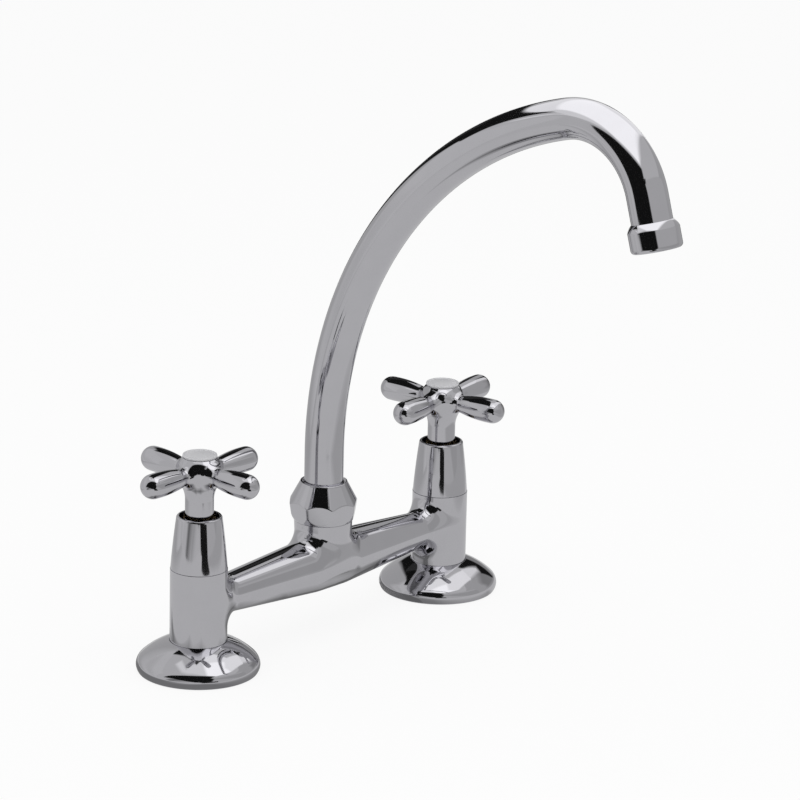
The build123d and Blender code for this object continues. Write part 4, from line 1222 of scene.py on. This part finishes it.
# The softboxes, flags and shades before its walls, as (plane, offset, way inwards, outline,
# brightness, width of the soft edge). Those on a corner of the tent run a little past it.
CARDS = {
    "floor_back": ("Z", 0, 1, (
        (-0.415, 0.217), (0.45, 0.171), (0.45, 0.3), (-0.468, 0.3)), 0.487, 0.1),
    "floor_front": ("Z", 0, 1, (
        (-0.374, -0.46), (0.45, -0.46), (0.45, 0.102), (0.036, -0.268)), 0.477, 0.057),
    "floor_left_foot_shadow": ("Z", 0, 1, (
        (-0.038, 0), (0.043, 0.014), (-0.104, 0.06), (-0.104, 0.1), (-0.152, -0.012),
        (-0.137, -0.016), (-0.124, -0.047), (-0.056, -0.036)), 0.234, 0.034),
    # The next two dark patches on the floor by the flanges' feet are painted contact shadow: only
    # the metal shows them, where each flange meets the floor.
    "floor_right_foot_shadow": ("Z", 0, 1, (
        (0.054, 0.009), (0.081, 0.064), (0.067, 0.059), (0.015, 0.017), (-0.035, 0.004),
        (-0.012, -0.007), (0.026, -0.003), (0.097, -0.03)), 0.162, 0.042),
    "flag_floor": ("Z", 0, 1, (
        (-0.402, -0.46), (-0.192, -0.46), (-0.1, -0.299), (-0.185, -0.261),
        (-0.287, -0.276)), 0.013, 0.02),
    "shade_front": ("Y", TENT_FRONT, 1, (
        (0.264, -0.03), (0.45, 0.018), (0.45, 0.281), (-0.33, 0.272)), 0.43, 0.023),
    "shade_over": ("Z", TENT_TOP, -1, (
        (0.232, -0.46), (0.45, -0.46), (0.45, -0.119), (0.272, -0.123)), 0.477, 0.006),
    "glow_back": ("Y", TENT_BACK, -1, (
        (-0.469, -0.03), (-0.082, 0.131), (-0.075, 0.262), (-0.335, 0.136)), 0.58, 0.1),
    "shade_back": ("Y", TENT_BACK, -1, (
        (-0.304, -0.03), (0.45, -0.03), (0.007, 0.426), (-0.07, 0.093)), 0.474, 0.1),
    "glow_left": ("X", TENT_LEFT, 1, (
        (-0.46, 0.167), (-0.063, -0.03), (-0.057, 0.426), (-0.46, 0.426)), 0.432, 0.1),
    "shade_left": ("X", TENT_LEFT, 1, (
        (0.019, -0.03), (0.105, -0.03), (-0.032, 0.228), (-0.194, 0.229)), 0.183, 0.1),
    "shade_right": ("X", TENT_RIGHT, -1, (
        (-0.142, 0.048), (0.3, -0.03), (0.3, 0.116), (-0.104, 0.256), (-0.164, 0.068)), 0.277, 0.1),
    "softbox_left": ("Z", TENT_TOP, -1, (
        (-0.129, -0.194), (-0.065, 0.016), (-0.198, 0.027), (-0.126, 0.13), (-0.184, 0.149),
        (-0.245, 0.041), (-0.237, -0.012)), 0.927, 0.037),
    "softbox_right": ("Z", TENT_TOP, -1, (
        (-0.07, -0.281), (0.45, -0.086), (0.45, 0.043), (0.177, -0.034), (-0.009, 0.129),
        (-0.075, 0.102)), 1.108, 0.016),
    "softbox": ("Z", TENT_TOP, -1, (
        (-0.104, -0.301), (-0.033, -0.271), (0.116, -0.202), (0.076, -0.145), (0.114, -0.081),
        (-0.072, -0.031), (-0.144, -0.178)), 1.412, 0.03),
    "softbox_wall": ("X", TENT_RIGHT, -1, (
        (-0.092, 0.426), (-0.075, 0.346), (0.03, 0.176), (0.059, 0.167),
        (0.043, 0.426)), 0.969, 0.03),
    "flag_over_left": ("Z", TENT_TOP, -1, (
        (-0.52, -0.46), (-0.261, -0.46), (-0.158, -0.381), (-0.209, -0.379), (-0.119, -0.319),
        (-0.184, -0.155), (-0.237, -0.082), (-0.293, -0.02), (-0.438, 0.075),
        (-0.52, 0.095)), 0.008, 0.02),
    "flag_left": ("X", TENT_LEFT, 1, (
        (-0.46, 0.426), (-0.46, 0.064), (-0.319, 0.054), (0.007, 0.145), (0.137, 0.111),
        (0.088, 0.426)), 0.008, 0.019),
    "flag_front": ("Y", TENT_FRONT, 1, (
        (-0.52, 0.057), (-0.246, 0.069), (-0.193, 0.267), (-0.265, 0.426),
        (-0.52, 0.426)), 0.008, 0.03),
    "flag_over_back": ("Z", TENT_TOP, -1, (
        (-0.109, -0.002), (0.048, 0.034), (0.136, 0.084), (0.375, 0.3), (-0.07, 0.3),
        (-0.071, 0.141)), 0.009, 0.015),
    "flag_back": ("Y", TENT_BACK, -1, (
        (-0.088, 0.426), (0.044, 0.31), (0.173, 0.145), (0.215, 0.083), (0.371, 0.012),
        (0.192, 0.329), (0.341, 0.426)), 0.008, 0.02),
    "flag_back_right": ("Y", TENT_BACK, -1, (
        (0.159, 0.426), (0.102, 0.241), (0.285, 0.218), (0.45, -0.03),
        (0.45, 0.426)), 0.031, 0.006),
    "flag_right": ("X", TENT_RIGHT, -1, (
        (0.041, 0.032), (0.096, 0.07), (0.166, 0.13), (0.076, 0.378), (0.053, 0.314),
        (0.079, 0.14), (0.013, 0.16)), 0.01, 0.02),
    "flag_low": ("Y", TENT_FRONT, 1, (
        (-0.385, -0.03), (-0.156, -0.03), (-0.166, 0.059), (-0.465, 0.081)), 0.011, 0.008),
}
PLANE_AXES = {"X": (1, 2, 0), "Y": (0, 2, 1), "Z": (0, 1, 2)}


def add_camera(s):
    a, e = s.azimuth, s.elevation
    back = Vector((math.sin(a) * math.cos(e), -math.cos(a) * math.cos(e), math.sin(e)))
    level = Vector((math.cos(a), math.sin(a), 0))
    tilted = back.cross(level)
    right = math.cos(s.roll) * level + math.sin(s.roll) * tilted
    up = math.cos(s.roll) * tilted - math.sin(s.roll) * level
    data = bpy.data.cameras.new("camera")
    data.lens = s.lens / MM
    data.sensor_width = s.sensor / MM
    data.clip_end = VIEW_END
    camera = linked("camera", data)
    place = back * s.distance + right * s.shift_right + up * s.shift_up
    camera.matrix_world = framed(place, right, up, back)
    bpy.context.scene.camera = camera


def light_path(nodes, kind):
    return nodes.add("ShaderNodeLightPath", out=kind)


def background_rays(nodes):
    """1 for rays that show the background itself: the camera's, off metal or through glass."""
    kinds = ("Is Camera Ray", "Is Glossy Ray", "Is Transmission Ray")
    camera, glossy, through = (light_path(nodes, kind) for kind in kinds)
    total = camera + glossy + through
    return total.maths("MINIMUM", total, 1.0)


def glowing(nodes, strength):
    return nodes.add("ShaderNodeEmission", sockets={"Color": WHITE, "Strength": strength})


def mixed(nodes, factor, first, second):
    return nodes.add("ShaderNodeMixShader", None, factor, first, second)


def add_stage(name, corners, faces, finish):
    """A flat thing of the studio that isn't part of the faucet."""
    mesh = bpy.data.meshes.new(name)
    mesh.from_pydata(corners, [], faces)
    mesh.materials.append(finish)
    made = linked(name, mesh)
    made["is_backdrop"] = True
    return made


def add_floor(s):
    """A pale floor that holds the faucet's shadow and is near white to look at."""
    finish, nodes = new_finish("pale_floor")
    plain = nodes.add("ShaderNodeBsdfDiffuse", sockets={"Color": (*s.floor, 1)})
    seen = mixed(nodes, light_path(nodes, "Is Camera Ray"), glowing(nodes, s.mirrored_light),
                 glowing(nodes, 1.0))
    shown = mixed(nodes, background_rays(nodes) * s.whiteness, plain, seen)
    nodes.add("ShaderNodeOutputMaterial", sockets={"Surface": shown})
    half = s.floor_size / 2
    corners = [(x, y, 0) for x, y in oblong(-half, half, -half, half)]
    add_stage("floor", corners, [(0, 1, 2, 3)], finish)


def add_world(s):
    world = bpy.data.worlds.new("studio")
    world.cycles.sampling_method = "NONE"
    world.use_nodes = True
    nodes = Nodes(world.node_tree)
    shown = background_rays(nodes)
    light = nodes.add("ShaderNodeBackground", sockets={
        "Color": WHITE, "Strength": shown + (1 - shown) * s.fill})
    nodes.add("ShaderNodeOutputWorld", sockets={"Surface": light})
    bpy.context.scene.world = world


def card_finish(brightness):
    """A card's light, which fades out towards its rim by the attribute that its mesh holds."""
    made, nodes = new_finish("studio_card")
    clear = nodes.add("ShaderNodeBsdfTransparent")
    solid = nodes.add("ShaderNodeAttribute", {"attribute_name": "solid"}, out="Fac")
    shown = mixed(nodes, solid, clear, glowing(nodes, brightness))
    nodes.add("ShaderNodeOutputMaterial", sockets={"Surface": shown})
    return made


def card_rim(shape, reach, plane, offset):
    """The outline's corners in space, moved outwards by reach."""
    for i, corner in enumerate(shape):
        here, before, after = (Vector(shape[k % len(shape)]) for k in (i, i - 1, i + 1))
        along = ((here - before).normalized() + (after - here).normalized()).normalized()
        place = [0, 0, 0]
        values = (corner[0] + reach * along.y, corner[1] - reach * along.x, offset)
        for axis, value in zip(PLANE_AXES[plane], values):
            place[axis] = value
        yield place


def add_card(name, plane, offset, shape, brightness, fade=0):
    """A card that only the polished metal shows, as a studio's cloth, softboxes and flags do."""
    rims = [corner for reach in (-fade / 2, fade / 2)
            for corner in card_rim(shape, reach, plane, offset)]
    count = len(shape)
    faces = [tuple(range(count))]
    if fade:
        faces += [(i, (i + 1) % count, count + (i + 1) % count, count + i) for i in range(count)]
    card = add_stage(name, rims, faces, card_finish(brightness))
    solid = card.data.attributes.new("solid", "FLOAT", "POINT")
    solid.data.foreach_set("value", [1.0] * count + [0.0] * count)
    card.visible_camera = card.visible_diffuse = card.visible_shadow = False


def add_cards():
    for name, wall in TENT.items():
        add_card(name, *wall)
    for step, (name, (plane, offset, inward, *card)) in enumerate(CARDS.items(), 1):
        gap = CARD_GAP if offset else FLOOR_CARD_GAP
        add_card(name, plane, offset + inward * gap * step, *card)


def add_lamp(s):
    """One broad lamp overhead, which metal doesn't show."""
    data = bpy.data.lights.new("overhead", "AREA")
    data.shape = "DISK"
    data.size = s.lamp_size
    data.energy = s.lamp_power
    lamp = linked("overhead", data)
    lamp.matrix_world = Matrix.Translation(LAMP_PLACE) @ Matrix.Rotation(s.lamp_tilt, 4, "X")
    lamp.visible_glossy = False


class FAUCET_OT_studio(bpy.types.Operator):
    """Builds the floor, the light and the camera"""

    bl_idname = "faucet.studio"
    bl_label = "Studio"

    def execute(self, context):
        sizes = context.scene.faucet_studio
        add_camera(sizes)
        add_floor(sizes)
        add_world(sizes)
        add_cards()
        add_lamp(sizes)
        context.scene.view_settings.view_transform = "Standard"
        return {"FINISHED"}


# ---------------------------------------------------------------- panel and registration
STEPS = (FAUCET_OT_finishes, FAUCET_OT_bridge, FAUCET_OT_flanges, FAUCET_OT_bonnets,
         FAUCET_OT_handles, FAUCET_OT_nut, FAUCET_OT_spout, FAUCET_OT_shanks, FAUCET_OT_studio)
SETTINGS = {
    "faucet_colours": FinishColours,
    "faucet_bridge": BridgeSizes,
    "faucet_flange": FlangeSizes,
    "faucet_bonnet": BonnetSizes,
    "faucet_handle": HandleSizes,
    "faucet_nut": NutSizes,
    "faucet_spout": SpoutSizes,
    "faucet_shank": ShankSizes,
    "faucet_studio": StudioSizes,
}


class FAUCET_PT_panel(bpy.types.Panel):
    """Lists the steps that build the faucet"""

    bl_idname = "FAUCET_PT_panel"
    bl_label = "Faucet"
    bl_space_type = "VIEW_3D"
    bl_region_type = "UI"
    bl_category = "Faucet"

    def draw(self, context):
        for step in STEPS:
            self.layout.operator(step.bl_idname)


CLASSES = (*SETTINGS.values(), *STEPS, FAUCET_PT_panel)


def register():
    for made in CLASSES:
        bpy.utils.register_class(made)
    for name, group in SETTINGS.items():
        setattr(bpy.types.Scene, name, PointerProperty(type=group))


def unregister():
    for name in SETTINGS:
        delattr(bpy.types.Scene, name)
    for made in reversed(CLASSES):
        bpy.utils.unregister_class(made)


def main():
    register()
    for step in STEPS:
        group, name = step.bl_idname.split(".")
        getattr(getattr(bpy.ops, group), name)()
    boxes = [[list(corner) for corner in box] for box in (CAD_BOUNDS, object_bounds())]


if __name__ == "__main__":
    main()
